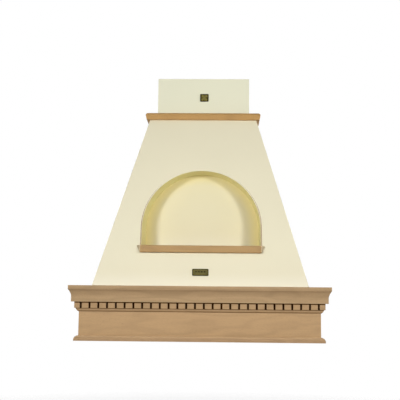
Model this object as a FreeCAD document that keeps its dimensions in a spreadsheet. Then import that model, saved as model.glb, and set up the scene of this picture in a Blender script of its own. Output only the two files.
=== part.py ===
import FreeCAD, Part
import math
import os
import Sketcher

# Wooden range hood cover: a beech cornice frame, a painted dome with an arched
# niche, a telescopic chimney box and the extractor insert that it hides.
# Frame of the whole part: the wall is the plane y = 0, the front looks towards
# -Y, x = 0 is the middle and z = 0 is the lowest edge of the cornice frame.

doc = FreeCAD.newDocument("RangeHood")
sheet = doc.addObject("Spreadsheet::Sheet", "Sizes")

driving = {
    "portalWidth": (833, "over the outer faces of the side fascias"),
    "portalDepth": (465, "from the wall to the front fascia's face"),
    "portalHeight": (189, "height of the cornice frame"),
    "fasciaThickness": (20, "beech boards of the frame"),
    "beadRadius": (14, "quarter round at the foot of the fascia"),
    "beadToe": (4, "upright edge under the quarter round"),
    "crownHeight": (56, "crown moulding, foot to top"),
    "crownProjection": (33.5, "crown's top edge beyond the fascia"),
    "crownFillet": (14, "height of the flat top edge"),
    "crownStep": (0.4, "set-back where the cove meets the top edge"),
    "coveHollow": (1.5, "depth of the cove behind its chord"),
    "crownNeck": (23.6, "projection of its upright lower part"),
    "crownNeckHeight": (20.5, "height of that part, up to the cove"),
    "dentilHeight": (21.5, "height of the dentils"),
    "dentilProjection": (13.9, "dentils' face beyond the fascia"),
    "dentilPitch": (30.2, "from one dentil to the next"),
    "kerfWidth": (6.9, "gap between two dentils"),
    "kerfDepth": (12.4, "depth of that gap"),
    "dentilSpare": (5, "least distance of the last kerf from the corner"),
    "bedHeight": (11.5, "bed moulding under the dentils"),
    "bedFoot": (1.5, "its projection at the bottom"),
    "bedStep": (4, "its top edge behind the dentils' faces"),
    "bedBulge": (1.2, "height of its round over its chord"),
    "ledgeWidth": (60, "inner ledge that carries the dome"),
    "ledgeThickness": (18, "its boards"),
    "railThickness": (20, "back rail and upper wall batten"),
    "lowerHoleSpacing": (600, "wall screws through the back rail"),
    "upperHoleSpacing": (360, "wall screws through the upper batten"),
    "chimneyHoleSpacing": (220, "wall screws through the chimney's batten"),
    "wallHole": (4.5, "radius of the wall screws' holes"),
    "blockLeg": (40, "glue blocks in the front corners"),
    "blockHeight": (90, "their height"),
    "domeInsetFront": (35, "dome's foot behind the front fascia's face"),
    "domeInsetSide": (35.1, "dome's foot inside the side fascias' faces"),
    "domeHeight": (633.5, "foot to top of the dome's panels"),
    "domeTopWidth": (405, "dome's width at its top"),
    "domeTopDepth": (291.5, "dome's depth at its top"),
    "domeWall": (10, "level thickness of the dome's panels"),
    "battenSize": (20, "corner battens inside the dome"),
    "frameThickness": (15, "frame round the chimney in the dome's top"),
    "upperBattenHeight": (367, "upper wall batten's foot above the frame"),
    "upperBattenWidth": (60, "its height"),
    "sillHeight": (145.5, "shelf's top above the cornice frame"),
    "nicheWidth": (429, "clear width of the arched niche"),
    "nicheHeight": (284, "shelf's top to the arch's crown"),
    "nicheBack": (246, "niche's back face from the wall"),
    "linerThickness": (4, "bent lining of the arch"),
    "backThickness": (6, "niche's back plate"),
    "backLip": (12, "back plate beyond the lining"),
    "shelfThickness": (25, "beech shelf"),
    "shelfNosing": (14, "its front edge beyond the dome at its foot"),
    "shelfHorn": (14, "its ends beyond the niche on each side"),
    "shelfBevel": (11, "slant of those ends"),
    "shelfTip": (3, "thickness left where the slant meets the dome"),
    "shelfRound": (3, "rounded long edges of the nosing"),
    "fitGap": (0.2, "play of the shelf in the dome's opening"),
    "cleatSize": (24, "cleat under the shelf"),
    "collarHeight": (26.5, "collar on the dome's top"),
    "collarOverhang": (15.5, "its widest line beyond the dome's top edge"),
    "collarUnder": (12, "its overhang at the bottom"),
    "collarRound": (11, "radius of its rounded top edge"),
    "chimneyMargin": (26.5, "dome's top edge to the chimney's face"),
    "chimneyGap": (1.5, "play between chimney and collar"),
    "chimneyWall": (8, "chimney's panels"),
    "chimneyRise": (145, "chimney above the collar when pushed down"),
    "chimneyClear": (39.5, "chimney's foot above the niche's back plate"),
    "chimneyWallGap": (2, "chimney's side panels stop short of the wall"),
    "chimneyBattenThickness": (18, "batten across the chimney's back"),
    "chimneyBattenHeight": (40, "its height"),
    "chimneyBattenDrop": (20, "its top edge under the chimney's top"),
    "badgeThickness": (2.5, "both plates"),
    "badgeRim": (2.5, "raised rim of the plates"),
    "badgeRecess": (0.7, "depth of their sunk fields"),
    "badgeCorner": (3.5, "radius of their corners"),
    "lowerBadgeWidth": (58, "plate low on the dome"),
    "lowerBadgeHeight": (25, "its height"),
    "lowerBadgeUp": (50, "its middle above the cornice frame"),
    "upperBadgeWidth": (33, "plate on the chimney"),
    "upperBadgeHeight": (30, "its height"),
    "upperBadgeUp": (69.5, "its middle above the collar"),
    "upperBadgeShift": (3, "its middle to the right of the chimney's"),
    "panLevel": (45, "underside of the insert's pan"),
    "panGap": (2, "play round the pan"),
    "panRim": (6, "turned-down rim of the pan"),
    "sheetThickness": (1.5, "folded steel sheet"),
    "panCleat": (20, "wooden cleats that the pan is screwed to"),
    "panBar": (8, "half the bar between the two filters"),
    "filterWidth": (292, "each grease filter"),
    "filterThickness": (10, "its thickness"),
    "filterFace": (3, "slotted face and rim of the filter"),
    "filterGap": (1, "play round a filter"),
    "controlStrip": (91, "front strip of the pan for lamps and buttons"),
    "filterBack": (48, "rear edge of the filters' openings from the wall"),
    "filterBorder": (21, "plain border round the slots"),
    "hingeInset": (3, "filter's hinge pins from its rear edge"),
    "hingeRise": (2.2, "hinge pins above the filter's underside"),
    "hingePinRadius": (2, "hinge pins"),
    "hingeNotch": (4, "notch of the pan beside a hinge pin"),
    "earHeight": (8, "pan's ears that hold the hinge pins"),
    "slotWidth": (8, "slots of the filter"),
    "slotPitch": (16, "from one slot to the next"),
    "stopReach": (12, "filter stops over the filter's front edge"),
    "stopWidth": (40, "width of a filter stop"),
    "handleWidth": (70, "fold-down handle of a filter"),
    "handleDrop": (26, "its length from the pivot"),
    "handleSize": (4, "its square bar"),
    "pivotRadius": (1.5, "its pivots"),
    "lugRadius": (3.4, "lugs that hold the pivots"),
    "lugWidth": (5, "their width"),
    "handleInset": (40, "pivot line behind the filter's front edge"),
    "runningGap": (0.05, "radial play of shafts and pins"),
    "plenumClear": (20, "plenum box inside the ledges"),
    "plenumBackGap": (10, "plenum box in front of the back rail"),
    "plenumGap": (0.5, "plenum's top below the shelf's cleat"),
    "scrollBackGap": (20, "scroll in front of the plenum's rear sheet"),
    "scrollFootGap": (18, "scroll above the pan"),
    "scrollStart": (84, "first radius of the scroll"),
    "scrollStep": (11, "growth of its radius in each quarter turn"),
    "scrollWidth": (99, "over the scroll's side plates"),
    "inletLip": (4, "side inlets beyond the blades' inner ends"),
    "wheelGap": (12, "blower wheel inside the scroll's first radius"),
    "wheelSideGap": (8, "wheel to the scroll's side plates"),
    "bladeCount": (28, "forward-curved blades"),
    "bladeSpan": (14, "blades from their inner ends to the wheel's rim"),
    "bladeBow": (14, "radius of a blade's curve"),
    "bladeThickness": (1.2, "its thickness"),
    "hubRadius": (12, "wheel's hub"),
    "shaftRadius": (4, "motor shaft"),
    "motorRadius": (45, "motor"),
    "motorLength": (58, "its length"),
    "shaftDepth": (26, "shaft inside the motor"),
    "spiderWidth": (10, "ring of the motor's bracket round the inlet"),
    "spiderThickness": (3, "its plate"),
    "spiderArm": (14, "width of its arms"),
    "spiderHub": (26, "radius of its middle"),
    "spigotRadius": (75, "round duct outlet"),
    "spigotHeight": (90, "its height above the plenum"),
    "spigotFlange": (92, "radius of its flange"),
    "spigotBead": (1.5, "rolled bead that stops the duct"),
    "spigotBeadUp": (34, "bead above the plenum"),
    "flapLevel": (60, "flaps' pin above the plenum"),
    "flapGap": (1.2, "play round the flaps"),
    "flapThickness": (1, "flap plates"),
    "flapPinRadius": (2, "pin of the flaps"),
    "knuckleRadius": (4, "flap knuckles"),
    "knuckleLength": (24, "their length"),
    "controlInset": (48, "lamps and buttons behind the pan's front edge"),
    "lampInset": (108, "lamps from the pan's side edges"),
    "lampRadius": (24, "lamp lens"),
    "bezelRadius": (33, "lamp's ring"),
    "bezelDrop": (3, "ring and lens below the pan"),
    "lampHeight": (18, "lamp body above the pan"),
    "panelWidth": (120, "button plate"),
    "panelHeight": (34, "its depth"),
    "panelThickness": (2, "its thickness"),
    "buttonRadius": (6, "push buttons"),
    "buttonPitch": (30, "from one to the next"),
    "buttonProud": (3, "button below its plate"),
    "buttonTravel": (2, "how far it goes in"),
    "buttonGap": (0.1, "play round a button"),
    "switchHeight": (24, "switch box above the pan"),
    "glandRadius": (9, "cable gland"),
    "glandHeight": (16, "its height above the plenum"),
    "glandBore": (4, "its bore"),
    "glandInset": (196.5, "gland from the plenum's left side"),
    "glandBackInset": (50, "gland from the plenum's rear face"),
}

for line, (alias, (amount, meaning)) in enumerate(driving.items(), start=1):
    sheet.set(f"A{line}", meaning)
    sheet.set(f"B{line}", str(amount))
    sheet.setAlias(f"B{line}", alias)
doc.recompute()


class Size:
    # A size as a formula on the sheet together with its present value.
    def __init__(self, text, value):
        self.text = text
        self.value = float(value)

    def __add__(self, other):
        other = size(other)
        return Size(f"({self.text} + {other.text})", self.value + other.value)

    def __sub__(self, other):
        other = size(other)
        return Size(f"({self.text} - {other.text})", self.value - other.value)

    def __mul__(self, other):
        other = size(other)
        return Size(f"({self.text} * {other.text})", self.value * other.value)

    def __truediv__(self, other):
        other = size(other)
        return Size(f"({self.text} / {other.text})", self.value / other.value)

    def __neg__(self):
        return Size(f"(0 - {self.text})", -self.value)

    def __radd__(self, other):
        return size(other) + self

    def __rsub__(self, other):
        return size(other) - self

    def __rmul__(self, other):
        return size(other) * self

    def __rtruediv__(self, other):
        return size(other) / self


def size(thing):
    if isinstance(thing, Size):
        return thing
    return Size(repr(float(thing)), thing)


def whole(thing):
    # The whole number below a size.
    return Size(f"floor({thing.text})", math.floor(thing.value))


def root(thing):
    return Size(f"sqrt({thing.text})", math.sqrt(thing.value))


def ordered(one, other):
    one, other = size(one), size(other)
    return (one, other) if one.value <= other.value else (other, one)


class Sheet:
    # Every alias of the sheet as an attribute.
    def __getattr__(self, alias):
        return Size("Sizes." + alias, sheet.get(alias))


s = Sheet()
nodes = {}


def new_body(label):
    body = doc.addObject("PartDesign::Body", label)
    body.Label = label
    nodes[label] = body
    return body


def new_group(label, members):
    # Identical pieces that share one node.
    group = doc.addObject("Part::Compound", label)
    group.Label = label
    group.Links = members
    for member in members:
        del nodes[member.Label]
    nodes[label] = group
    return group


def place(body, x=0, y=0, z=0):
    for axis, amount in (("x", x), ("y", y), ("z", z)):
        body.setExpression(f".Placement.Base.{axis}", size(amount).text)


def plane_of(body, role):
    for feature in body.Origin.OriginFeatures:
        if feature.Role == role:
            return feature
    raise ValueError(role)


# Which way the three sketch planes face: XY looks up, YZ looks towards +X and
# XZ looks towards -Y, so a level along Y counts backwards on XZ.
facing = {"XY_Plane": 1, "YZ_Plane": 1, "XZ_Plane": -1}


def new_sketch(body, name, plane, level):
    sketch = body.newObject("Sketcher::SketchObject", name)
    sketch.AttachmentSupport = (plane_of(body, plane), [""])
    sketch.MapMode = "FlatFace"
    sketch.setExpression(".AttachmentOffset.Base.z", (size(level) * facing[plane]).text)
    return sketch


def fix(sketch, kind, geometry, point, amount):
    amount = size(amount)
    rule = Sketcher.Constraint(kind, -1, 1, geometry, point, amount.value)
    index = sketch.addConstraint(rule)
    sketch.setExpression(f"Constraints[{index}]", amount.text)


def arc(cx, cy, x, y):
    # A path's step to (x, y) along an arc of under half a turn about (cx, cy).
    return (cx, cy, x, y)


def outline(body, name, plane, level, path):
    # A closed outline of corners (x, y) and arcs, fully fixed from the sheet.
    sketch = new_sketch(body, name, plane, level)
    steps = [tuple(size(part) for part in step) for step in path]
    ends = [step[-2:] for step in steps]
    count = len(steps)
    made = []
    for index in range(count):
        start = ends[index]
        step = steps[(index + 1) % count]
        first = FreeCAD.Vector(start[0].value, start[1].value, 0)
        last = FreeCAD.Vector(step[-2].value, step[-1].value, 0)
        if len(step) == 2:
            made.append(sketch.addGeometry(Part.LineSegment(first, last)))
            continue
        middle = FreeCAD.Vector(step[0].value, step[1].value, 0)
        radius = (first - middle).Length
        begin = math.atan2(first.y - middle.y, first.x - middle.x)
        finish = math.atan2(last.y - middle.y, last.x - middle.x)
        turn = (finish - begin) % (2 * math.pi)
        circle = Part.Circle(middle, FreeCAD.Vector(0, 0, 1), radius)
        if turn <= math.pi:
            piece = Part.ArcOfCircle(circle, begin, begin + turn)
        else:
            piece = Part.ArcOfCircle(circle, finish, finish + 2 * math.pi - turn)
        made.append(sketch.addGeometry(piece))

    def point_ids(index):
        # Start and end of a piece as the sketch numbers them; an arc counts
        # anticlockwise, so one that runs the other way has them swapped.
        step = steps[(index + 1) % count]
        if len(step) == 2:
            return 1, 2
        start = ends[index]
        ax, ay = start[0].value - step[0].value, start[1].value - step[1].value
        bx, by = step[2].value - step[0].value, step[3].value - step[1].value
        return (1, 2) if ax * by - ay * bx >= 0 else (2, 1)

    for index in range(count):
        start_id = point_ids(index)[0]
        before = (index - 1) % count
        rule = Sketcher.Constraint("Coincident", made[before], point_ids(before)[1], made[index], start_id)
        sketch.addConstraint(rule)
    for index in range(count):
        start_id = point_ids(index)[0]
        x, y = ends[index]
        arrival = steps[index]
        if len(arrival) == 2:
            fix(sketch, "DistanceX", made[index], start_id, x)
            fix(sketch, "DistanceY", made[index], start_id, y)
        else:
            across = abs(x.value - arrival[0].value)
            upward = abs(y.value - arrival[1].value)
            if upward >= across:
                fix(sketch, "DistanceX", made[index], start_id, x)
            else:
                fix(sketch, "DistanceY", made[index], start_id, y)
        leaving = steps[(index + 1) % count]
        if len(leaving) == 4:
            fix(sketch, "DistanceX", made[index], 3, leaving[0])
            fix(sketch, "DistanceY", made[index], 3, leaving[1])
    return sketch


def circles(body, name, plane, level, rings):
    # Circles (x, y, radius), fully fixed from the sheet.
    sketch = new_sketch(body, name, plane, level)
    for x, y, radius in rings:
        x, y, radius = size(x), size(y), size(radius)
        middle = FreeCAD.Vector(x.value, y.value, 0)
        ring = sketch.addGeometry(Part.Circle(middle, FreeCAD.Vector(0, 0, 1), radius.value))
        fix(sketch, "DistanceX", ring, 3, x)
        fix(sketch, "DistanceY", ring, 3, y)
        index = sketch.addConstraint(Sketcher.Constraint("Radius", ring, radius.value))
        sketch.setExpression(f"Constraints[{index}]", radius.text)
    return sketch


def drawn(body, name, plane, level, shape):
    # A shape is either a path or a list of circles.
    if len(shape[0]) == 3:
        return circles(body, name, plane, level, shape)
    return outline(body, name, plane, level, shape)


def extrude(body, name, plane, shape, low, high):
    # A pad between two levels along the plane's own axis.
    low, high = ordered(low, high)
    start = low if facing[plane] > 0 else high
    pad = body.newObject("PartDesign::Pad", name)
    pad.Profile = (drawn(body, name + "_outline", plane, start, shape), [""])
    pad.setExpression("Length", (high - low).text)
    body.Tip = pad
    return pad


def cut(body, name, plane, shape, low, high):
    # A pocket between two levels along the plane's own axis.
    low, high = ordered(low, high)
    start = high if facing[plane] > 0 else low
    pocket = body.newObject("PartDesign::Pocket", name)
    pocket.Profile = (drawn(body, name + "_outline", plane, start, shape), [""])
    pocket.setExpression("Length", (high - low).text)
    body.Tip = pocket
    return pocket


def loft(body, name, low, low_path, high, high_path):
    # A solid with straight faces between two level outlines.
    skin = body.newObject("PartDesign::AdditiveLoft", name)
    skin.Profile = (outline(body, name + "_foot", "XY_Plane", low, low_path), [""])
    skin.Sections = [(outline(body, name + "_head", "XY_Plane", high, high_path), [""])]
    skin.Ruled = True
    body.Tip = skin
    return skin


def row(body, name, feature, role, length, count):
    # Equal repeats of a feature along one of the body's axes.
    pattern = body.newObject("PartDesign::LinearPattern", name)
    pattern.Originals = [feature]
    pattern.Direction = (plane_of(body, role), [""])
    pattern.setExpression("Length", length.text)
    pattern.setExpression("Occurrences", count.text)
    body.Tip = pattern
    return pattern


def ring_of(body, name, feature, role, count):
    # Equal repeats of a feature round one of the body's axes.
    pattern = body.newObject("PartDesign::PolarPattern", name)
    pattern.Originals = [feature]
    pattern.Axis = (plane_of(body, role), [""])
    pattern.Angle = 360
    pattern.setExpression("Occurrences", count.text)
    body.Tip = pattern
    return pattern


def box_path(x0, y0, x1, y1):
    return [(x0, y0), (x1, y0), (x1, y1), (x0, y1)]


sides = (("left", -1), ("right", 1))
clear = 1.0     # how far a cutting outline reaches past the solid that it cuts

# ---------------------------------------------------------------- cornice frame
half = s.portalWidth / 2
front = -s.portalDepth
top = s.portalHeight
board = s.fasciaThickness


def side_board(label, sign, x, y, width, low, high):
    # A board along a side of a frame, cut at 45 degrees at the front corner.
    body = new_body(label)
    plan = [(sign * x, y), (sign * (x - width), y + width), (sign * (x - width), 0), (sign * x, 0)]
    extrude(body, "board", "XY_Plane", plan, low, high)
    return body


def front_board(label, x, y, width, low, high):
    # The board between the two side boards, cut at 45 degrees at both ends.
    body = new_body(label)
    inner = x - width
    plan = [(-x, y), (x, y), (inner, y + width), (-inner, y + width)]
    extrude(body, "board", "XY_Plane", plan, low, high)
    return body


front_board("front_fascia", half, front, board, 0, top)
for name, sign in sides:
    side_board(f"{name}_fascia", sign, half, front, board, 0, top)

inner_x = half - board
inner_y = front + board
ledge_foot = top - s.ledgeThickness
front_board("ledge_front", inner_x, inner_y, s.ledgeWidth, ledge_foot, top)
for name, sign in sides:
    side_board(f"ledge_{name}", sign, inner_x, inner_y, s.ledgeWidth, ledge_foot, top)


def moulding(label, side, x, y, profile, low, high, reach):
    # A moulding fixed to the outside of a frame whose corner is (x, y), mitred
    # at 45 degrees there. The profile is drawn by (outward, upward) points.
    body = new_body(label)
    if side == 0:
        path = profile(lambda out, up: (y - out, up))
        extrude(body, "run", "YZ_Plane", path, -x - reach, x + reach)
        for name, sign in sides:
            notch = [(sign * x, y), (sign * (x + reach), y), (sign * (x + reach), y - reach)]
            cut(body, f"{name}_mitre", "XY_Plane", notch, low - clear, high + clear)
        return body
    path = profile(lambda out, up: (side * (x + out), up))
    extrude(body, "run", "XZ_Plane", path, y - reach, 0)
    notch = [(side * x, y), (side * (x + reach), y - reach), (side * x, y - reach)]
    cut(body, "mitre", "XY_Plane", notch, low - clear, high + clear)
    return body


pieces = (("front", 0), ("left", -1), ("right", 1))
bead_top = s.beadToe + s.beadRadius


def bead_profile(at):
    return [
        at(0, 0),
        at(s.beadRadius, 0),
        at(s.beadRadius, s.beadToe),
        arc(*at(0, s.beadToe), *at(0, bead_top)),
    ]


for name, side in pieces:
    moulding(f"base_bead_{name}", side, half, front, bead_profile, 0, bead_top, s.beadRadius + clear)

crown_foot = top - s.crownHeight
neck = crown_foot + s.crownNeckHeight
cove_top = top - s.crownFillet
cove_out = s.crownProjection - s.crownStep


def arc_middle(ax, az, bx, bz, rise):
    # Centre of the arc from a to b that stands off its chord by rise, to the
    # right of the way from a to b.
    run_x, run_z = bx - ax, bz - az
    half_chord = root(run_x * run_x + run_z * run_z) / 2
    share = (half_chord * half_chord - rise * rise) / (4 * rise * half_chord)
    return (ax + bx) / 2 - run_z * share, (az + bz) / 2 + run_x * share


cove_middle = arc_middle(cove_out, cove_top, s.crownNeck, neck, s.coveHollow)


def crown_profile(at):
    return [
        at(0, crown_foot),
        at(s.crownNeck, crown_foot),
        at(s.crownNeck, neck),
        arc(*at(*cove_middle), *at(cove_out, cove_top)),
        at(s.crownProjection, cove_top),
        at(s.crownProjection, top),
        at(0, top),
    ]


for name, side in pieces:
    reach = s.crownProjection + clear
    moulding(f"crown_{name}", side, half, front, crown_profile, crown_foot, top, reach)

dentil_foot = crown_foot - s.dentilHeight
bed_foot = dentil_foot - s.bedHeight
bed_out = s.dentilProjection - s.bedStep
bed_middle = arc_middle(s.bedFoot, bed_foot, bed_out, dentil_foot, s.bedBulge)


def dentil_profile(at):
    return [
        at(0, bed_foot),
        at(s.bedFoot, bed_foot),
        arc(*at(*bed_middle), *at(bed_out, dentil_foot)),
        at(s.dentilProjection, dentil_foot),
        at(s.dentilProjection, crown_foot),
        at(0, crown_foot),
    ]


# The gaps stand evenly about the middle of the front, and the first gap on a
# side is as far from the corner as the last one on the front.
gap_count = 2 * whole((half + s.dentilPitch / 2 - s.dentilSpare) / s.dentilPitch)
gap_run = (gap_count - 1) * s.dentilPitch
lead = half - gap_run / 2
side_count = whole((s.portalDepth - lead - s.kerfWidth) / s.dentilPitch) + 1
kerf_floor = s.dentilProjection - s.kerfDepth
half_kerf = s.kerfWidth / 2

for name, side in pieces:
    reach = s.dentilProjection + clear
    body = moulding(f"dentil_{name}", side, half, front, dentil_profile, bed_foot, crown_foot, reach)
    if side == 0:
        first = -gap_run / 2
        path = box_path(first - half_kerf, front - reach, first + half_kerf, front - kerf_floor)
        gap = cut(body, "gap", "XY_Plane", path, dentil_foot, crown_foot + clear)
        row(body, "gaps", gap, "X_Axis", gap_run, gap_count)
    else:
        first = front + lead
        near, far = side * (half + kerf_floor), side * (half + reach)
        path = box_path(near, first - half_kerf, far, first + half_kerf)
        gap = cut(body, "gap", "XY_Plane", path, dentil_foot, crown_foot + clear)
        row(body, "gaps", gap, "Y_Axis", (side_count - 1) * s.dentilPitch, side_count)

rail = new_body("back_rail")
extrude(rail, "board", "XZ_Plane", box_path(-inner_x, 0, inner_x, ledge_foot), -s.railThickness, 0)
rail_middle = ledge_foot / 2
holes = [(sign * s.lowerHoleSpacing / 2, rail_middle, s.wallHole) for name, sign in sides]
cut(rail, "holes", "XZ_Plane", holes, -s.railThickness - clear, clear)

blocks = []
for name, sign in sides:
    block = new_body(f"{name}_corner_block")
    plan = [
        (sign * inner_x, inner_y),
        (sign * (inner_x - s.blockLeg), inner_y),
        (sign * inner_x, inner_y + s.blockLeg),
    ]
    extrude(block, "block", "XY_Plane", plan, ledge_foot - s.blockHeight, ledge_foot)
    blocks.append(block)
new_group("corner_blocks", blocks)

# ------------------------------------------------------------------------- dome
base_x = half - s.domeInsetSide
base_y = front + s.domeInsetFront
top_x = s.domeTopWidth / 2
top_y = -s.domeTopDepth
dome_top = top + s.domeHeight
wall = s.domeWall


def face_x(level):
    # Half width over the dome's outer faces at a level.
    return base_x + (level - top) * (top_x - base_x) / s.domeHeight


def face_y(level):
    # The dome's front face at a level.
    return base_y + (level - top) * (top_y - base_y) / s.domeHeight


def front_plan(x, y):
    return [(-x, y), (x, y), (x - wall, y + wall), (wall - x, y + wall)]


def side_plan(sign, x, y):
    return [(sign * x, y), (sign * (x - wall), y + wall), (sign * (x - wall), 0), (sign * x, 0)]


niche_radius = s.nicheWidth / 2
sill = top + s.sillHeight
spring = sill + s.nicheHeight - niche_radius
shelf_foot = sill - s.shelfThickness
opening = niche_radius + s.linerThickness


def arch_path(radius, foot):
    return [
        (-radius, foot),
        (radius, foot),
        (radius, spring),
        arc(0, spring, 0, spring + radius),
        arc(0, spring, -radius, spring),
    ]


panel = new_body("dome_front_panel")
loft(panel, "panel", top, front_plan(base_x, base_y), dome_top, front_plan(top_x, top_y))
cut(panel, "arch", "XZ_Plane", arch_path(opening, shelf_foot), base_y - clear, top_y + wall + clear)

for name, sign in sides:
    panel = new_body(f"dome_{name}_panel")
    loft(panel, "panel", top, side_plan(sign, base_x, base_y), dome_top, side_plan(sign, top_x, top_y))

# Square battens glued into the two front corners, up to the chimney frame.
frame_foot = dome_top - s.frameThickness


def batten_plan(sign, level):
    x = face_x(level) - wall
    y = face_y(level) + wall
    size_in = s.battenSize
    return [(sign * x, y), (sign * (x - size_in), y), (sign * (x - size_in), y + size_in), (sign * x, y + size_in)]


battens = []
for name, sign in sides:
    batten = new_body(f"{name}_dome_batten")
    loft(batten, "batten", top, batten_plan(sign, top), frame_foot, batten_plan(sign, frame_foot))
    battens.append(batten)
new_group("dome_corner_battens", battens)

chimney_x = top_x - s.chimneyMargin
chimney_y = top_y + s.chimneyMargin
sleeve_x = chimney_x + s.chimneyGap
sleeve_y = chimney_y - s.chimneyGap


def frame_plan(level):
    x = face_x(level) - wall
    y = face_y(level) + wall
    return [
        (-x, 0),
        (-x, y),
        (x, y),
        (x, 0),
        (sleeve_x, 0),
        (sleeve_x, sleeve_y),
        (-sleeve_x, sleeve_y),
        (-sleeve_x, 0),
    ]


top_frame = new_body("top_frame")
loft(top_frame, "frame", frame_foot, frame_plan(frame_foot), dome_top, frame_plan(dome_top))

batten_low = top + s.upperBattenHeight
batten_high = batten_low + s.upperBattenWidth
upper = new_body("upper_wall_batten")
path = [
    (wall - face_x(batten_low), batten_low),
    (face_x(batten_low) - wall, batten_low),
    (face_x(batten_high) - wall, batten_high),
    (wall - face_x(batten_high), batten_high),
]
extrude(upper, "board", "XZ_Plane", path, -s.railThickness, 0)
middle = (batten_low + batten_high) / 2
holes = [(sign * s.upperHoleSpacing / 2, middle, s.wallHole) for name, sign in sides]
cut(upper, "holes", "XZ_Plane", holes, -s.railThickness - clear, clear)

# Arched niche: a bent lining between the sloping front and a flat back plate.
back_face = -s.nicheBack
ahead = base_y - 2 * wall
slope_ahead = [(base_y, top), (top_y, dome_top), (ahead, dome_top), (ahead, top)]
slope_behind = [(base_y, top), (top_y, dome_top), (0, dome_top), (0, top)]

liner = new_body("niche_arch")
path = [
    (opening, sill),
    (opening, spring),
    arc(0, spring, 0, spring + opening),
    arc(0, spring, -opening, spring),
    (-opening, sill),
    (-niche_radius, sill),
    (-niche_radius, spring),
    arc(0, spring, 0, spring + niche_radius),
    arc(0, spring, niche_radius, spring),
    (niche_radius, sill),
]
extrude(liner, "lining", "XZ_Plane", path, base_y, back_face)
cut(liner, "slope", "YZ_Plane", slope_ahead, -opening - clear, opening + clear)

back = new_body("niche_back")
extrude(back, "plate", "XZ_Plane", arch_path(opening + s.backLip, shelf_foot), back_face, back_face + s.backThickness)

# The shelf is one board: it fills the foot of the opening, its rounded nosing
# stands in front of the dome and its horns lie on the sloping face.
shelf = new_body("niche_shelf")
nose = face_y(shelf_foot) - s.shelfNosing
horn_x = niche_radius + s.shelfHorn
tongue_x = opening - s.fitGap
horn_back = face_y(sill)
soft = s.shelfRound
path = [
    (back_face, shelf_foot),
    (nose + soft, shelf_foot),
    arc(nose + soft, shelf_foot + soft, nose, shelf_foot + soft),
    (nose, sill - soft),
    arc(nose + soft, sill - soft, nose + soft, sill),
    (back_face, sill),
]
extrude(shelf, "board", "YZ_Plane", path, -horn_x, horn_x)
for name, sign in sides:
    beyond = sign * (horn_x + clear)
    plan = [
        (sign * (horn_x - s.shelfBevel), nose - clear),
        (sign * (horn_x - s.shelfBevel), nose),
        (sign * horn_x, horn_back - s.shelfTip),
        (sign * horn_x, horn_back),
        (sign * tongue_x, horn_back),
        (sign * tongue_x, back_face + clear),
        (beyond, back_face + clear),
        (beyond, nose - clear),
    ]
    cut(shelf, f"{name}_horn", "XY_Plane", plan, shelf_foot - clear, sill + clear)
    cut(shelf, f"{name}_seat", "YZ_Plane", slope_behind, sign * tongue_x, beyond)
    path = [
        (sign * (horn_x - s.shelfBevel), shelf_foot - clear),
        (sign * (horn_x - s.shelfBevel), shelf_foot),
        (sign * horn_x, sill - soft),
        (beyond, sill - soft),
        (beyond, shelf_foot - clear),
    ]
    cut(shelf, f"{name}_slant", "XZ_Plane", path, nose - clear, horn_back + clear)

cleat = new_body("shelf_cleat")
cleat_foot = shelf_foot - s.cleatSize
cleat_back = face_y(shelf_foot) + wall + s.cleatSize
path = [
    (face_y(cleat_foot) + wall, cleat_foot),
    (face_y(shelf_foot) + wall, shelf_foot),
    (cleat_back, shelf_foot),
    (cleat_back, cleat_foot),
]
extrude(cleat, "cleat", "YZ_Plane", path, -niche_radius, niche_radius)

# ----------------------------------------------------------- collar and chimney
collar_top = dome_top + s.collarHeight
collar_base = s.chimneyMargin - s.chimneyGap


def collar_profile(at):
    widest = collar_base + s.collarOverhang
    shoulder = collar_top - s.collarRound
    return [
        at(0, dome_top),
        at(collar_base + s.collarUnder, dome_top),
        at(widest, shoulder),
        arc(*at(widest - s.collarRound, shoulder), *at(widest - s.collarRound, collar_top)),
        at(0, collar_top),
    ]


for name, side in pieces:
    reach = collar_base + s.collarOverhang + clear
    moulding(f"collar_{name}", side, sleeve_x, sleeve_y, collar_profile, dome_top, collar_top, reach)

chimney_top = collar_top + s.chimneyRise
chimney_foot = spring + opening + s.backLip + s.chimneyClear
skin = s.chimneyWall
front_board("chimney_front", chimney_x, chimney_y, skin, chimney_foot, chimney_top)
for name, sign in sides:
    body = new_body(f"chimney_{name}")
    plan = [
        (sign * chimney_x, chimney_y),
        (sign * (chimney_x - skin), chimney_y + skin),
        (sign * (chimney_x - skin), -s.chimneyWallGap),
        (sign * chimney_x, -s.chimneyWallGap),
    ]
    extrude(body, "board", "XY_Plane", plan, chimney_foot, chimney_top)

tie = new_body("chimney_wall_batten")
tie_top = chimney_top - s.chimneyBattenDrop
tie_foot = tie_top - s.chimneyBattenHeight
tie_x = chimney_x - skin
tie_back = -s.chimneyWallGap
tie_front = tie_back - s.chimneyBattenThickness
extrude(tie, "board", "XZ_Plane", box_path(-tie_x, tie_foot, tie_x, tie_top), tie_front, tie_back)
middle = (tie_foot + tie_top) / 2
holes = [(sign * s.chimneyHoleSpacing / 2, middle, s.wallHole) for name, sign in sides]
cut(tie, "holes", "XZ_Plane", holes, tie_front - clear, clear)

# ----------------------------------------------------------------- plain badges
def plate_path(x, z, wide, high, corner):
    # A rectangle with rounded corners about the point (x, z).
    left, right = x - wide / 2, x + wide / 2
    low, high = z - high / 2, z + high / 2
    return [
        arc(left + corner, low + corner, left + corner, low),
        (right - corner, low),
        arc(right - corner, low + corner, right, low + corner),
        (right, high - corner),
        arc(right - corner, high - corner, right - corner, high),
        (left + corner, high),
        arc(left + corner, high - corner, left, high - corner),
        (left, low + corner),
    ]


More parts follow.
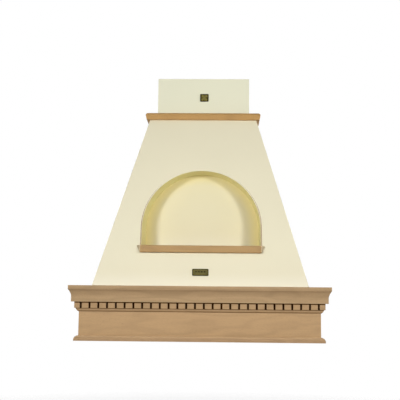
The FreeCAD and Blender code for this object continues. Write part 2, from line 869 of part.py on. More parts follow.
badge = new_body("upper_badge")
middle_x = s.upperBadgeShift
middle_z = collar_top + s.upperBadgeUp
badge_face = chimney_y - s.badgeThickness
path = plate_path(middle_x, middle_z, s.upperBadgeWidth, s.upperBadgeHeight, s.badgeCorner)
extrude(badge, "plate", "XZ_Plane", path, badge_face, chimney_y)
wide, high = s.upperBadgeWidth / 2 - s.badgeRim, s.upperBadgeHeight / 2 - s.badgeRim
path = box_path(middle_x - wide, middle_z - high, middle_x + wide, middle_z + high)
cut(badge, "field", "XZ_Plane", path, badge_face - clear, badge_face + s.badgeRecess)

# The lower plate lies on the dome's slope: its outline is taken through level
# and both faces are then cut to the slope.
badge = new_body("lower_badge")


def leaning(low, high, near, far):
    # A strip along the slope, from near to far in front of the dome's face.
    return [
        (face_y(low) - near, low),
        (face_y(high) - near, high),
        (face_y(high) - far, high),
        (face_y(low) - far, low),
    ]


low = top + s.lowerBadgeUp - s.lowerBadgeHeight / 2
high = low + s.lowerBadgeHeight
wide = s.lowerBadgeWidth / 2
path = plate_path(0, (low + high) / 2, s.lowerBadgeWidth, s.lowerBadgeHeight, s.badgeCorner)
stack = s.badgeThickness + s.lowerBadgeHeight
extrude(badge, "plate", "XZ_Plane", path, face_y(low) - stack, face_y(high) + stack)
under, over = low - clear, high + clear
cut(badge, "seat", "YZ_Plane", leaning(under, over, -2 * stack, 0), -wide - clear, wide + clear)
cut(badge, "face", "YZ_Plane", leaning(under, over, s.badgeThickness, 2 * stack), -wide - clear, wide + clear)
field = leaning(low + s.badgeRim, high - s.badgeRim, s.badgeThickness - s.badgeRecess, s.badgeThickness + clear)
cut(badge, "field", "YZ_Plane", field, s.badgeRim - wide, wide - s.badgeRim)

# -------------------------------------------------------------- extractor insert
sheet_t = s.sheetThickness
pan_x = inner_x - s.panGap
pan_front = inner_y + s.panGap
pan_back = -s.railThickness - s.panGap
pan_top = s.panLevel + sheet_t
control_y = pan_front + s.controlInset
lamp_x = pan_x - s.lampInset
hinge_y = -s.filterBack - s.filterGap
filter_front = pan_front + s.controlStrip
filter_depth = hinge_y - filter_front - s.filterGap
panel_x = s.panelWidth / 2
panel_y = s.panelHeight / 2
switch_x = panel_x - 2 * sheet_t
switch_y = panel_y - 2 * sheet_t

cleats = []
for name, sign in sides:
    body = new_body(f"{name}_insert_cleat")
    plan = box_path(sign * (inner_x - s.panCleat), pan_front, sign * inner_x, pan_back)
    extrude(body, "cleat", "XY_Plane", plan, pan_top, pan_top + s.panCleat)
    cleats.append(body)
new_group("insert_cleats", cleats)

pan = new_body("insert_pan")
extrude(pan, "tray", "XY_Plane", box_path(-pan_x, pan_front, pan_x, pan_back), s.panLevel - s.panRim, pan_top)
hollow = box_path(sheet_t - pan_x, pan_front + sheet_t, pan_x - sheet_t, pan_back - sheet_t)
cut(pan, "hollow", "XY_Plane", hollow, s.panLevel - s.panRim - clear, s.panLevel)
for name, sign in sides:
    near = sign * s.panBar
    far = sign * (s.panBar + s.filterWidth + 2 * s.filterGap)
    path = box_path(near, filter_front, far, -s.filterBack)
    cut(pan, f"{name}_opening", "XY_Plane", path, s.panLevel - clear, pan_top + clear)
holes = [(sign * lamp_x, control_y, s.lampRadius) for name, sign in sides]
cut(pan, "lamp_holes", "XY_Plane", holes, s.panLevel - clear, pan_top + clear)
path = box_path(-switch_x, control_y - switch_y, switch_x, control_y + switch_y)
cut(pan, "switch_hole", "XY_Plane", path, s.panLevel - clear, pan_top + clear)
# Each opening has two notches for the filter's hinge pins, and beside each
# notch the sheet is folded up into an ear with the pin's bore.
pivot_y = hinge_y - s.hingeInset
pivot_z = s.panLevel + s.hingeRise
ear_y = 2 * s.hingePinRadius + clear
for name, sign in sides:
    near = s.panBar
    far = s.panBar + s.filterWidth + 2 * s.filterGap
    for ear, edge, outward in (("inner", near, -1), ("outer", far, 1)):
        start = sign * edge
        reach = sign * (edge + outward * s.hingeNotch)
        finish = sign * (edge + outward * (s.hingeNotch + sheet_t))
        notch = box_path(start, pivot_y - ear_y, reach, pivot_y + ear_y)
        cut(pan, f"{name}_{ear}_notch", "XY_Plane", notch, s.panLevel - clear, pan_top + clear)
        fold = box_path(pivot_y - ear_y, s.panLevel, pivot_y + ear_y, pan_top + s.earHeight)
        extrude(pan, f"{name}_{ear}_ear", "YZ_Plane", fold, reach, finish)
        bore = [(pivot_y, pivot_z, s.hingePinRadius + s.runningGap)]
        low, high = ordered(reach - outward * sign * clear, finish + outward * sign * clear)
        cut(pan, f"{name}_{ear}_bore", "YZ_Plane", bore, low, high)

# Scroll of the blower, seen from +X: three quarter arcs of growing radius run
# from the top over the front and under the wheel, then a straight wall rises.
plenum_x = inner_x - s.ledgeWidth - s.plenumClear
plenum_front = inner_y + s.ledgeWidth + s.plenumClear
plenum_back = -s.railThickness - s.plenumBackGap
plenum_top = cleat_foot - s.plenumGap
plenum_roof = plenum_top - sheet_t
shift = s.scrollStep / 2
second = s.scrollStart + s.scrollStep
third = second + s.scrollStep
axis_y = plenum_back - sheet_t - s.scrollBackGap - third - shift
axis_z = pan_top + s.scrollFootGap + second + shift
wheel_radius = s.scrollStart - s.wheelGap
blade_root = wheel_radius - s.bladeSpan
inlet_radius = blade_root + s.inletLip


def scroll_path(inward, head):
    r_one = s.scrollStart - inward
    r_two = r_one + s.scrollStep
    r_three = r_two + s.scrollStep
    y_one, y_two = axis_y - shift, axis_y + shift
    z_one, z_two = axis_z - shift, axis_z + shift
    # Inside, the throat's near wall stands one sheet behind the arc's start.
    throat = [(y_one + inward, z_one + r_one)] if inward.value else []
    return [(y_one + inward, head)] + throat + [
        (y_one, z_one + r_one),
        arc(y_one, z_one, y_one - r_one, z_one),
        arc(y_two, z_one, y_two, z_one - r_two),
        arc(y_two, z_two, y_two + r_three, z_two),
        (y_two + r_three, head),
    ]


throat_left = axis_y - shift + sheet_t
throat_right = axis_y + shift + third - sheet_t
throat_middle = (throat_left + throat_right) / 2
scroll_x = s.scrollWidth / 2

plenum = new_body("plenum_box")
path = box_path(-plenum_x, plenum_front, plenum_x, plenum_back)
extrude(plenum, "box", "XY_Plane", path, pan_top, plenum_top)
path = box_path(sheet_t - plenum_x, plenum_front + sheet_t, plenum_x - sheet_t, plenum_back - sheet_t)
cut(plenum, "hollow", "XY_Plane", path, pan_top - clear, plenum_roof)
path = box_path(sheet_t - scroll_x, throat_left, scroll_x - sheet_t, throat_right)
cut(plenum, "throat", "XY_Plane", path, plenum_roof - clear, plenum_top + clear)
gland_x = s.glandInset - plenum_x
gland_y = plenum_back - s.glandBackInset
hole = [(gland_x, gland_y, s.glandRadius)]
cut(plenum, "gland_hole", "XY_Plane", hole, plenum_roof - clear, plenum_top + clear)

scroll = new_body("scroll_housing")
extrude(scroll, "scroll", "YZ_Plane", scroll_path(size(0), plenum_roof), -scroll_x, scroll_x)
hollow = scroll_path(sheet_t, plenum_roof + clear)
cut(scroll, "hollow", "YZ_Plane", hollow, sheet_t - scroll_x, scroll_x - sheet_t)
inlet = [(axis_y, axis_z, inlet_radius)]
cut(scroll, "inlets", "YZ_Plane", inlet, -scroll_x - clear, scroll_x + clear)

# Blower wheel: a middle disc with its hub, two end rings and curved blades.
wheel = new_body("impeller")
place(wheel, 0, axis_y, axis_z)
disc = s.bladeThickness
wheel_x = scroll_x - sheet_t - s.wheelSideGap
extrude(wheel, "disc", "YZ_Plane", [(0, 0, wheel_radius)], -disc / 2, disc / 2)
extrude(wheel, "hub", "YZ_Plane", [(0, 0, s.hubRadius)], -2 * disc, s.hubRadius)
# A blade starts on the inner radius, bows forward and ends on the outer one.
chord = wheel_radius - disc - blade_root
rise = s.bladeBow - root(s.bladeBow * s.bladeBow - chord * chord / 4)
bow_y = blade_root + chord / 2
bow_z = rise - s.bladeBow
thin = disc / 2
path = [
    arc(bow_y, bow_z - thin, blade_root, -thin),
    (blade_root, thin),
    arc(bow_y, bow_z + thin, blade_root + chord, thin),
    (blade_root + chord, -thin),
]
blade = extrude(wheel, "blade", "YZ_Plane", path, -wheel_x, wheel_x)
ring_of(wheel, "blades", blade, "X_Axis", s.bladeCount)
for name, sign in sides:
    rim = [(0, 0, wheel_radius), (0, 0, blade_root)]
    extrude(wheel, f"{name}_rim", "YZ_Plane", rim, sign * wheel_x, sign * (wheel_x - disc))
shaft_end = -scroll_x - s.spiderThickness - s.shaftDepth
extrude(wheel, "shaft", "YZ_Plane", [(0, 0, s.shaftRadius)], shaft_end, -disc)

bracket = new_body("motor_bracket")
place(bracket, 0, axis_y, axis_z)
spider_out = -scroll_x - s.spiderThickness
spider_ring = inlet_radius + s.spiderWidth
ring = [(0, 0, spider_ring), (0, 0, inlet_radius)]
extrude(bracket, "ring", "YZ_Plane", ring, spider_out, -scroll_x)
hub = [(0, 0, s.spiderHub), (0, 0, s.hubRadius)]
extrude(bracket, "hub", "YZ_Plane", hub, spider_out, -scroll_x)
reach = (spider_ring + inlet_radius) / 2
path = box_path(s.hubRadius + 2 * clear, -s.spiderArm / 2, reach, s.spiderArm / 2)
arm = extrude(bracket, "arm", "YZ_Plane", path, spider_out, -scroll_x)
ring_of(bracket, "arms", arm, "X_Axis", size(3))

motor = new_body("motor")
place(motor, 0, axis_y, axis_z)
motor_out = spider_out - s.motorLength
extrude(motor, "can", "YZ_Plane", [(0, 0, s.motorRadius)], motor_out, spider_out)
extrude(motor, "cap", "YZ_Plane", [(0, 0, s.spiderHub)], motor_out - 4 * sheet_t, motor_out)
bore = [(0, 0, s.shaftRadius + s.runningGap)]
cut(motor, "bore", "YZ_Plane", bore, shaft_end - 2 * clear, spider_out + clear)

# Round outlet on the plenum, turned about its own axis.
spigot = new_body("outlet_spigot")
place(spigot, 0, throat_middle, plenum_top)
tube = s.spigotRadius - sheet_t
bead_low = s.spigotBeadUp
bead_high = bead_low + 4 * s.spigotBead
path = [
    (tube, 0),
    (s.spigotFlange, 0),
    (s.spigotFlange, sheet_t),
    (s.spigotRadius, sheet_t),
    (s.spigotRadius, bead_low),
    (s.spigotRadius + s.spigotBead, bead_low + s.spigotBead),
    (s.spigotRadius + s.spigotBead, bead_high - s.spigotBead),
    (s.spigotRadius, bead_high),
    (s.spigotRadius, s.spigotHeight),
    (tube, s.spigotHeight),
]
turned = spigot.newObject("PartDesign::Revolution", "turned")
turned.Profile = (outline(spigot, "section", "XZ_Plane", 0, path), [""])
turned.ReferenceAxis = (plane_of(spigot, "Z_Axis"), [""])
turned.Angle = 360
spigot.Tip = turned
pin_hole = [(0, s.flapLevel, s.flapPinRadius)]
cut(spigot, "pin_holes", "YZ_Plane", pin_hole, -s.spigotRadius - clear, s.spigotRadius + clear)

pin = new_body("flap_pin")
place(pin, 0, throat_middle, plenum_top + s.flapLevel)
extrude(pin, "pin", "YZ_Plane", [(0, 0, s.flapPinRadius)], -s.spigotRadius, s.spigotRadius)

# The two flaps share the pin: their knuckles take turns along it.
flap_edge = s.knuckleRadius + clear
flap_radius = tube - s.flapGap
chord_half = root(flap_radius * flap_radius - flap_edge * flap_edge)
knuckle_pitch = s.knuckleLength + clear
for name, sign, offset in (("rear_flap", 1, -2), ("front_flap", -1, -1)):
    body = new_body(name)
    place(body, 0, throat_middle, plenum_top + s.flapLevel)
    plan = [
        arc(0, 0, -sign * chord_half, sign * flap_edge),
        (sign * chord_half, sign * flap_edge),
        arc(0, 0, 0, sign * flap_radius),
    ]
    extrude(body, "plate", "XY_Plane", plan, -s.flapThickness / 2, s.flapThickness / 2)
    for index in (0, 2):
        low = (index + offset) * knuckle_pitch
        high = low + s.knuckleLength
        tab = box_path(low, sign * s.flapPinRadius * 1.5, high, sign * (flap_edge + clear))
        extrude(body, f"tab_{index}", "XY_Plane", tab, -s.flapThickness / 2, s.flapThickness / 2)
        extrude(body, f"knuckle_{index}", "YZ_Plane", [(0, 0, s.knuckleRadius)], low, high)
    bore = [(0, 0, s.flapPinRadius + s.runningGap)]
    cut(body, "bore", "YZ_Plane", bore, -s.spigotRadius, s.spigotRadius)

# Grease filters, each drawn with its rear lower edge as the origin.
handle_line = filter_depth - s.handleInset
slot_count = whole((s.filterWidth - 2 * s.filterBorder - s.slotWidth) / s.slotPitch) + 1
slot_run = (slot_count - 1) * s.slotPitch
lug_inner = s.handleWidth / 2 + s.handleSize / 2
for name, sign in sides:
    middle_x = sign * (s.panBar + s.filterGap + s.filterWidth / 2)
    body = new_body(f"{name}_filter")
    place(body, middle_x, hinge_y, s.panLevel)
    path = box_path(-s.filterWidth / 2, -filter_depth, s.filterWidth / 2, 0)
    extrude(body, "frame", "XY_Plane", path, 0, s.filterThickness)
    skin = s.filterFace
    path = box_path(skin - s.filterWidth / 2, skin - filter_depth, s.filterWidth / 2 - skin, -2 * skin)
    cut(body, "tray", "XY_Plane", path, skin, s.filterThickness + clear)
    reach = s.filterWidth / 2 + s.filterGap + s.hingeNotch + sheet_t
    hinge_pin = [(-s.hingeInset, s.hingeRise, s.hingePinRadius)]
    extrude(body, "hinge_pins", "YZ_Plane", hinge_pin, -reach, reach)
    first = -slot_run / 2 - s.slotWidth / 2
    slot_end = -handle_line + s.filterBorder
    path = box_path(first, slot_end, first + s.slotWidth, -s.filterBorder)
    slot = cut(body, "slot", "XY_Plane", path, -clear, s.filterThickness + clear)
    row(body, "slots", slot, "X_Axis", slot_run, slot_count)
    drop = -s.lugRadius
    for ear, hand in sides:
        near, far = hand * lug_inner, hand * (lug_inner + s.lugWidth)
        path = [
            (-handle_line - s.lugRadius, clear),
            (-handle_line - s.lugRadius, drop),
            arc(-handle_line, drop, -handle_line, drop - s.lugRadius),
            arc(-handle_line, drop, -handle_line + s.lugRadius, drop),
            (-handle_line + s.lugRadius, clear),
        ]
        extrude(body, f"{ear}_lug", "YZ_Plane", path, near, far)
    bore = [(-handle_line, drop, s.pivotRadius + s.runningGap)]
    cut(body, "pivot_bore", "YZ_Plane", bore, -s.handleWidth, s.handleWidth)

    # The handle is a square bar bent to a U that hangs from a pivot at each end.
    handle = new_body(f"{name}_handle")
    place(handle, middle_x, hinge_y - handle_line, s.panLevel - s.lugRadius)
    out = s.handleWidth / 2
    bar = s.handleSize
    half_bar = bar / 2
    path = [
        (-out, half_bar),
        (bar - out, half_bar),
        (bar - out, bar - s.handleDrop),
        (out - bar, bar - s.handleDrop),
        (out - bar, half_bar),
        (out, half_bar),
        (out, -s.handleDrop),
        (-out, -s.handleDrop),
    ]
    extrude(handle, "bail", "XZ_Plane", path, -half_bar, half_bar)
    for ear, hand in sides:
        reach = hand * (lug_inner + s.lugWidth)
        extrude(handle, f"{ear}_pivot", "YZ_Plane", [(0, 0, s.pivotRadius)], hand * (out - bar), reach)

# Angle stops on the pan end each filter's upward swing at its front edge.
stops = []
for name, sign in sides:
    middle_x = sign * (s.panBar + s.filterGap + s.filterWidth / 2)
    body = new_body(f"{name}_filter_stop")
    place(body, middle_x, filter_front, pan_top)
    lift = s.filterThickness - sheet_t + s.fitGap
    foot = filter_front - plenum_front - sheet_t - clear
    path = [
        (-foot, 0),
        (0, 0),
        (0, lift),
        (s.stopReach, lift),
        (s.stopReach, lift + sheet_t),
        (-sheet_t, lift + sheet_t),
        (-sheet_t, sheet_t),
        (-foot, sheet_t),
    ]
    extrude(body, "angle", "YZ_Plane", path, -s.stopWidth / 2, s.stopWidth / 2)
    stops.append(body)
new_group("filter_stops", stops)

# Lamps: a flanged ring under the pan and a lens that passes through the pan.
bezels, lenses = [], []
for name, sign in sides:
    body = new_body(f"{name}_bezel")
    place(body, sign * lamp_x, control_y, s.panLevel)
    ring = [(0, 0, s.bezelRadius), (0, 0, s.lampRadius)]
    extrude(body, "ring", "XY_Plane", ring, -s.bezelDrop, 0)
    bezels.append(body)
    body = new_body(f"{name}_lens")
    place(body, sign * lamp_x, control_y, s.panLevel)
    disc_shape = [(0, 0, s.lampRadius)]
    extrude(body, "lens", "XY_Plane", disc_shape, -s.bezelDrop / 2, s.lampHeight)
    lenses.append(body)
new_group("lamp_bezels", bezels)
new_group("lamp_lenses", lenses)

# Button plate, three push buttons with flanges, and the switch box above.
button_hole = s.buttonRadius + s.buttonGap
plate = new_body("button_panel")
place(plate, 0, control_y, s.panLevel)
path = box_path(-panel_x, -panel_y, panel_x, panel_y)
extrude(plate, "plate", "XY_Plane", path, -s.panelThickness, 0)
holes = [(step * s.buttonPitch, 0, button_hole) for step in (-1, 0, 1)]
cut(plate, "holes", "XY_Plane", holes, -s.panelThickness - clear, clear)

flange = s.buttonRadius + s.panelThickness
stem = s.buttonTravel + s.buttonGap
for index, step in ((1, -1), (2, 0), (3, 1)):
    body = new_body(f"button_{index}")
    place(body, step * s.buttonPitch, control_y, s.panLevel)
    cap = [(0, 0, s.buttonRadius)]
    extrude(body, "cap", "XY_Plane", cap, -s.panelThickness - s.buttonProud, clear)
    extrude(body, "flange", "XY_Plane", [(0, 0, flange)], s.buttonGap, s.buttonGap + 2 * clear)
    extrude(body, "stem", "XY_Plane", [(0, 0, s.buttonRadius / 2)], clear, s.switchHeight / 2)

box = new_body("switch_box")
place(box, 0, control_y, pan_top)
outer = box_path(-panel_x, -panel_y, panel_x, panel_y)
extrude(box, "box", "XY_Plane", outer, 0, s.switchHeight)
inner = box_path(-switch_x, -switch_y, switch_x, switch_y)
cut(box, "hollow", "XY_Plane", inner, -clear, s.switchHeight - sheet_t)

# Gland for the supply cable in the plenum's top.
gland = new_body("cable_gland")
place(gland, gland_x, gland_y, plenum_top)
flats = s.glandRadius + 2 * sheet_t
extrude(gland, "thread", "XY_Plane", [(0, 0, s.glandRadius)], -4 * sheet_t, s.glandHeight)
corner = flats / 2
run = flats * math.sqrt(3) / 2
hexagon = [
    (flats, 0),
    (corner, run),
    (-corner, run),
    (-flats, 0),
    (-corner, -run),
    (corner, -run),
]
extrude(gland, "nut", "XY_Plane", hexagon, 0, s.glandHeight / 2)
bore = [(0, 0, s.glandBore)]
cut(gland, "bore", "XY_Plane", bore, -5 * sheet_t, s.glandHeight + clear)

# ------------------------------------------------------------ check and write
doc.recompute()
for thing in doc.Objects:
    if "Invalid" in thing.State or "Error" in thing.State:
        raise RuntimeError(f"{thing.Name} failed: {thing.State}")
    if thing.TypeId == "Sketcher::SketchObject" and not thing.FullyConstrained:
        raise RuntimeError(f"{thing.Name} of {thing.getParentGeoFeatureGroup().Label} is not fixed")
for label, body in nodes.items():
    if body.Shape.isNull() or not body.Shape.isValid():
        raise RuntimeError(f"{label} has no valid shape")
    print(f"{label}: {len(body.Shape.Solids)} solid, {body.Shape.Volume / 1000:.1f} cm3")

os.makedirs("parts", exist_ok=True)
for label, body in nodes.items():
    body.Shape.exportStep(f"parts/{label}.step")
print(f"{len(nodes)} nodes")
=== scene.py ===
import math

import bpy
import numpy as np
from mathutils import Matrix


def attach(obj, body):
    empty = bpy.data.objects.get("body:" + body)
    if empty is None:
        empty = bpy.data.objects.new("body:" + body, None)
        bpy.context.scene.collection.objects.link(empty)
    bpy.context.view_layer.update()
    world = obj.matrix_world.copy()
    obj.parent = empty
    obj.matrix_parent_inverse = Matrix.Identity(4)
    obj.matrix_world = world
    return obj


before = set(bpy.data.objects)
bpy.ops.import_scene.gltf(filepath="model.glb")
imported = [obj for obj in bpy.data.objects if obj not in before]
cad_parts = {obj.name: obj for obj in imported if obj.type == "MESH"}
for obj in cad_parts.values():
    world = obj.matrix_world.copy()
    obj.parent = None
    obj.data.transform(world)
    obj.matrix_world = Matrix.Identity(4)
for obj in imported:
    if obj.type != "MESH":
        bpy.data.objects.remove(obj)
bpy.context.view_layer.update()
print("frame loaded:", len(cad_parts), "nodes")

# The photograph's view: a little right of the middle, at the height of the
# cornice, turned slightly left and up.
cameraSetup = {
    "place": (0.0794853, -2.8235674, 0.1468008),
    "yaw": 0.0201,
    "pitch": 0.1165,
    "roll": 0.0095,
    "lens": 61.1924,
    "sensor": 36.0,
    "clip": (0.01, 100.0),
    "shiftX": -0.02420,
    "shiftY": 0.04797,
}


def makeCamera(setup):
    # The line of sight is turned by yaw and raised by pitch, and the right and
    # up axes are then rolled about it.
    yaw, pitch, roll = setup["yaw"], setup["pitch"], setup["roll"]
    forward = np.array([-math.sin(yaw) * math.cos(pitch), math.cos(yaw) * math.cos(pitch), math.sin(pitch)])
    right = np.array([math.cos(yaw), math.sin(yaw), 0.0])
    up = np.cross(right, forward)
    pose = np.eye(4)
    pose[:3, 0] = math.cos(roll) * right + math.sin(roll) * up
    pose[:3, 1] = math.cos(roll) * up - math.sin(roll) * right
    pose[:3, 2] = -forward
    pose[:3, 3] = setup["place"]
    data = bpy.data.cameras.new("photoCamera")
    data.sensor_width = setup["sensor"]
    data.lens = setup["lens"]
    data.shift_x = setup["shiftX"]
    data.shift_y = setup["shiftY"]
    data.clip_start, data.clip_end = setup["clip"]
    camera = bpy.data.objects.new("photoCamera", data)
    bpy.context.scene.collection.objects.link(camera)
    camera.matrix_world = Matrix(pose.tolist())
    bpy.context.scene.camera = camera


makeCamera(cameraSetup)
print("camera placed")


class Signal:
    # A socket with arithmetic: an expression on it adds Math nodes.
    def __init__(self, finish, socket):
        self.finish = finish
        self.socket = socket

    def math(self, operation, first, second):
        return self.finish.add("Math", {"operation": operation}, {0: first, 1: second})

    def __add__(self, other):
        return self.math("ADD", self, other)

    def __radd__(self, other):
        return self.math("ADD", other, self)

    def __sub__(self, other):
        return self.math("SUBTRACT", self, other)

    def __rsub__(self, other):
        return self.math("SUBTRACT", other, self)

    def __mul__(self, other):
        return self.math("MULTIPLY", self, other)

    def __rmul__(self, other):
        return self.math("MULTIPLY", other, self)

    def __pow__(self, other):
        return self.math("POWER", self, other)

    def size(self):
        return self.math("ABSOLUTE", self, 0.0)


class Finish:
    # A node tree, with the one method that adds a node to it.
    def __init__(self, holder):
        self.holder = holder
        holder.use_nodes = True
        self.tree = holder.node_tree
        self.tree.nodes.clear()

    def add(self, kind, settings=None, sockets=None, out=0):
        node = self.tree.nodes.new("ShaderNode" + kind)
        for key, value in (settings or {}).items():
            if key == "stops":
                ramp = node.color_ramp.elements
                while len(ramp) < len(value):
                    ramp.new(0.5)
                for element, (spot, shade) in zip(ramp, value):
                    element.position = spot
                    element.color = (shade, shade, shade, 1.0)
            else:
                setattr(node, key, value)
        for key, value in (sockets or {}).items():
            if isinstance(value, Signal):
                self.tree.links.new(value.socket, node.inputs[key])
            else:
                node.inputs[key].default_value = value
        return Signal(self, node.outputs[out]) if len(node.outputs) else None

    def where(self, scale=(1.0, 1.0, 1.0), offset=(0.0, 0.0, 0.0)):
        spot = self.add("TexCoord", out="Object")
        return self.add("Mapping", None, {"Vector": spot, "Location": offset, "Scale": scale})

    def split(self, where):
        return [self.add("SeparateXYZ", None, {0: where}, out=i) for i in range(3)]

    def noise(self, where, scale, detail=2.0, roughness=0.5):
        sockets = {"Vector": where, "Scale": scale, "Detail": detail, "Roughness": roughness}
        return self.add("TexNoise", None, sockets)

    def rise(self, value, low, high):
        # 0 below low, 1 above high, smooth between them.
        sockets = {"Value": value, "From Min": low, "From Max": high}
        return self.add("MapRange", {"interpolation_type": "SMOOTHSTEP"}, sockets)

    def fall(self, value, low, high):
        # 1 below low, 0 above high, smooth between them.
        return self.rise(value * (-1.0), -high, -low)

    def most(self, first, second):
        return self.add("Math", {"operation": "MAXIMUM"}, {0: first, 1: second})

    def least(self, first, second):
        return self.add("Math", {"operation": "MINIMUM"}, {0: first, 1: second})

    def sine(self, value):
        return self.add("Math", {"operation": "SINE"}, {0: value})

    def ramp(self, value, *stops):
        return self.add("ValToRGB", {"stops": stops}, {"Fac": value})

    def mix(self, factor, first, second):
        return self.add("Mix", {"data_type": "RGBA"}, {0: factor, 6: first, 7: second}, out=2)

    def bump(self, height, strength, depth):
        return self.add("Bump", None, {"Height": height, "Strength": strength, "Distance": depth})

    def close(self, shader):
        self.add("OutputMaterial", None, {"Surface": shader})
        return self.holder

    def surface(self, sockets):
        return self.close(self.add("BsdfPrincipled", None, sockets))


def newFinish(name):
    return Finish(bpy.data.materials.new(name))


def shaded(colour, share=1.0):
    return tuple(channel * share for channel in colour) + (1.0,)


def stretched(along, across, lengthwise):
    # A pattern's scale: one value across the grain and one along it.
    return tuple(lengthwise if axis == along else across for axis in "XYZ")


# Raw sanded beech. Colours are linear.
beechSetup = {
    "fascia": (0.471, 0.301, 0.151),
    "crown": (0.434, 0.292, 0.158),
    "dentil": (0.425, 0.276, 0.144),
    "bead": (0.456, 0.294, 0.158),
    "collar": (0.512, 0.295, 0.103),
    "shelf": (0.464, 0.296, 0.136),
    # The dark brown of the painted shade in the mouldings' gaps and under their overhangs.
    "shadeBrown": (0.066, 0.020, 0.001),
    "ringsPerMetre": 105.0,
    "wander": 0.11,
    "drift": 0.10,
    "slow": (1.0, 0.22),
    "fibres": (900.0, 14.0),
    "flecks": (1700.0, 210.0),
    "lightShade": 1.07,
    "ringShade": 0.80,
    "ringShare": 0.55,
    "fibreShade": 0.86,
    "fibreShare": 0.65,
    "cloudShade": 1.12,
    "cloudShare": 0.35,
    "fleckShade": 0.62,
    "fleckShare": 0.55,
    "relief": 0.25,
    "roughness": 0.56,
    "gloss": 0.22,
    # Less gloss on boards with painted marks, so that their painted shade stays dark.
    "markedGloss": 0.04,
}


def beech(name, colour, along, seed, shadeAndWear=None, setup=beechSetup):
    # Growth rings are circles round a line that wanders beside the board, so
    # the distance to that line, times the rings per metre, gives arched bands.
    # Fibres and flecks are noise stretched along the board. Where a marking
    # function is given, it paints shade and highlight into the colour, or paler
    # ends on the shelf, and the board gets less gloss.
    # The seed moves every pattern, so that no two boards are alike.
    finish = newFinish(name)
    across, depth = [i for i in range(3) if "XYZ"[i] != along]
    split = finish.split(finish.where(offset=(0.37 * seed, 0.23 * seed, 0.0)))
    slow = stretched(along, *setup["slow"])
    wander = finish.noise(finish.where(slow, (seed, 2.0 * seed, 3.0 * seed)), 6.0, 3.0, 0.55)
    drift = finish.noise(finish.where(slow, (3.0 * seed, seed, seed)), 9.0, 2.0)
    beside = (split[across] + wander * setup["wander"] - setup["wander"] * (0.4 + seed % 0.6)) ** 2.0
    below = (split[depth] + drift * setup["drift"] - setup["drift"] * (0.3 + seed % 0.5)) ** 2.0
    distance = (beside + below) ** 0.5
    rings = finish.sine(distance * (2.0 * math.pi * setup["ringsPerMetre"]))
    fibres = finish.noise(finish.where(stretched(along, *setup["fibres"]), (seed, seed, seed)), 1.0, 3.0, 0.6)
    specks = finish.noise(finish.where(stretched(along, *setup["flecks"])), 1.0, 1.0)
    flecks = finish.ramp(specks, (0.60, 0.0), (0.70, 1.0))
    cloud = finish.noise(finish.where(slow, (seed, 0.0, 0.0)), 14.0, 2.0)
    light = shaded(colour, setup["lightShade"])
    ringShare = (rings * 0.5 + 0.5) ** 2.0 * setup["ringShare"]
    colours = finish.mix(ringShare, light, shaded(colour, setup["ringShade"]))
    fibreShare = finish.ramp(fibres, (0.35, 0.0), (0.75, 1.0)) * setup["fibreShare"]
    colours = finish.mix(fibreShare, colours, shaded(colour, setup["fibreShade"]))
    cloudShare = finish.ramp(cloud, (0.35, 0.0), (0.70, 1.0)) * setup["cloudShare"]
    colours = finish.mix(cloudShare, colours, shaded(colour, setup["cloudShade"]))
    colours = finish.mix(flecks * setup["fleckShare"], colours, shaded(colour, setup["fleckShade"]))
    if shadeAndWear:
        colours = shadeAndWear(finish, colours, finish.split(finish.where()))
    return finish.surface({
        "Base Color": colours,
        "Roughness": setup["roughness"] + fibres * 0.10,
        "Specular IOR Level": setup["markedGloss"] if shadeAndWear else setup["gloss"],
        "Normal": finish.bump(fibres * 0.7 - flecks * 0.5, setup["relief"], 0.0003),
    })


# Satin paint on fibreboard, laid on with a roller. Only the outer faces are
# painted: behind them the board is raw.
paintSetup = {
    "cream": (0.800, 0.745, 0.545),
    "chimney": (0.845, 0.832, 0.630),
    # The dome's front near the crown, paler: painted bounce light.
    "domeFootLit": (0.845, 0.805, 0.630),
    "nicheFoot": (0.815, 0.780, 0.585),
    "nicheBack": (0.790, 0.735, 0.505),
    # The back's tone next to the arch: painted shade, yellowed as bounced light yellows it.
    "nicheEdgeShade": (0.840, 0.740, 0.370),
    # The niche's lining is brighter and yellower than the cream: painted bounce light inside the niche.
    "nicheArch": (0.940, 0.870, 0.420),
    "rawBoard": (0.400, 0.275, 0.155),
    "slopeFoot": (-0.4300, 0.1890),
    "slope": 0.21863,
    "sideFoot": 0.3814,
    "sideSlope": 0.28240,
    "chimneyHalf": 0.1760,
    "chimneyFront": -0.2650,
    "nicheFace": -0.2460,
    "archMiddle": 0.4080,
    "archRadius": 0.2145,
    "roughness": 0.44,
    "cloudPerMetre": 3.5,
    "cloudShade": 0.015,
    "peelPerMetre": 650.0,
    "peel": 0.10,
    "skin": (0.0004, 0.0011),
    "fuzzPerMetre": 420.0,
    "rawShade": 0.15,
    "edge": (0.0006, 0.0012),
    "sideFade": (0.3300, 0.4400),
    "sideShadeShare": 0.13,
    "archFade": (0.050, 0.004),
    "backFade": (0.3300, 0.4100),
    "backShare": 0.80,
    "footFade": (0.2000, 0.2450),
    "footLightShare": 0.80,
}


# Each of these gives how far a place lies behind the painted face, in metres.
def behindSlope(place, setup=paintSetup):
    return place[1] - (place[2] - setup["slopeFoot"][1]) * setup["slope"] - setup["slopeFoot"][0]


def behindSide(place, setup=paintSetup):
    half = (place[2] - setup["slopeFoot"][1]) * (-setup["sideSlope"]) + setup["sideFoot"]
    return half - place[0].size()


def behindChimneyFront(place, setup=paintSetup):
    return place[1] - setup["chimneyFront"]


def behindChimneySide(place, setup=paintSetup):
    return setup["chimneyHalf"] - place[0].size()


def behindNiche(place, setup=paintSetup):
    return place[1] - setup["nicheFace"]


def archReach(place, setup=paintSetup):
    # The distance from the arch's axis counts height only above its middle.
    lift = place[2].finish.most(place[2] - setup["archMiddle"], 0.0)
    return (place[0] * place[0] + lift * lift) ** 0.5


def behindArch(place, setup=paintSetup):
    return archReach(place) - setup["archRadius"]


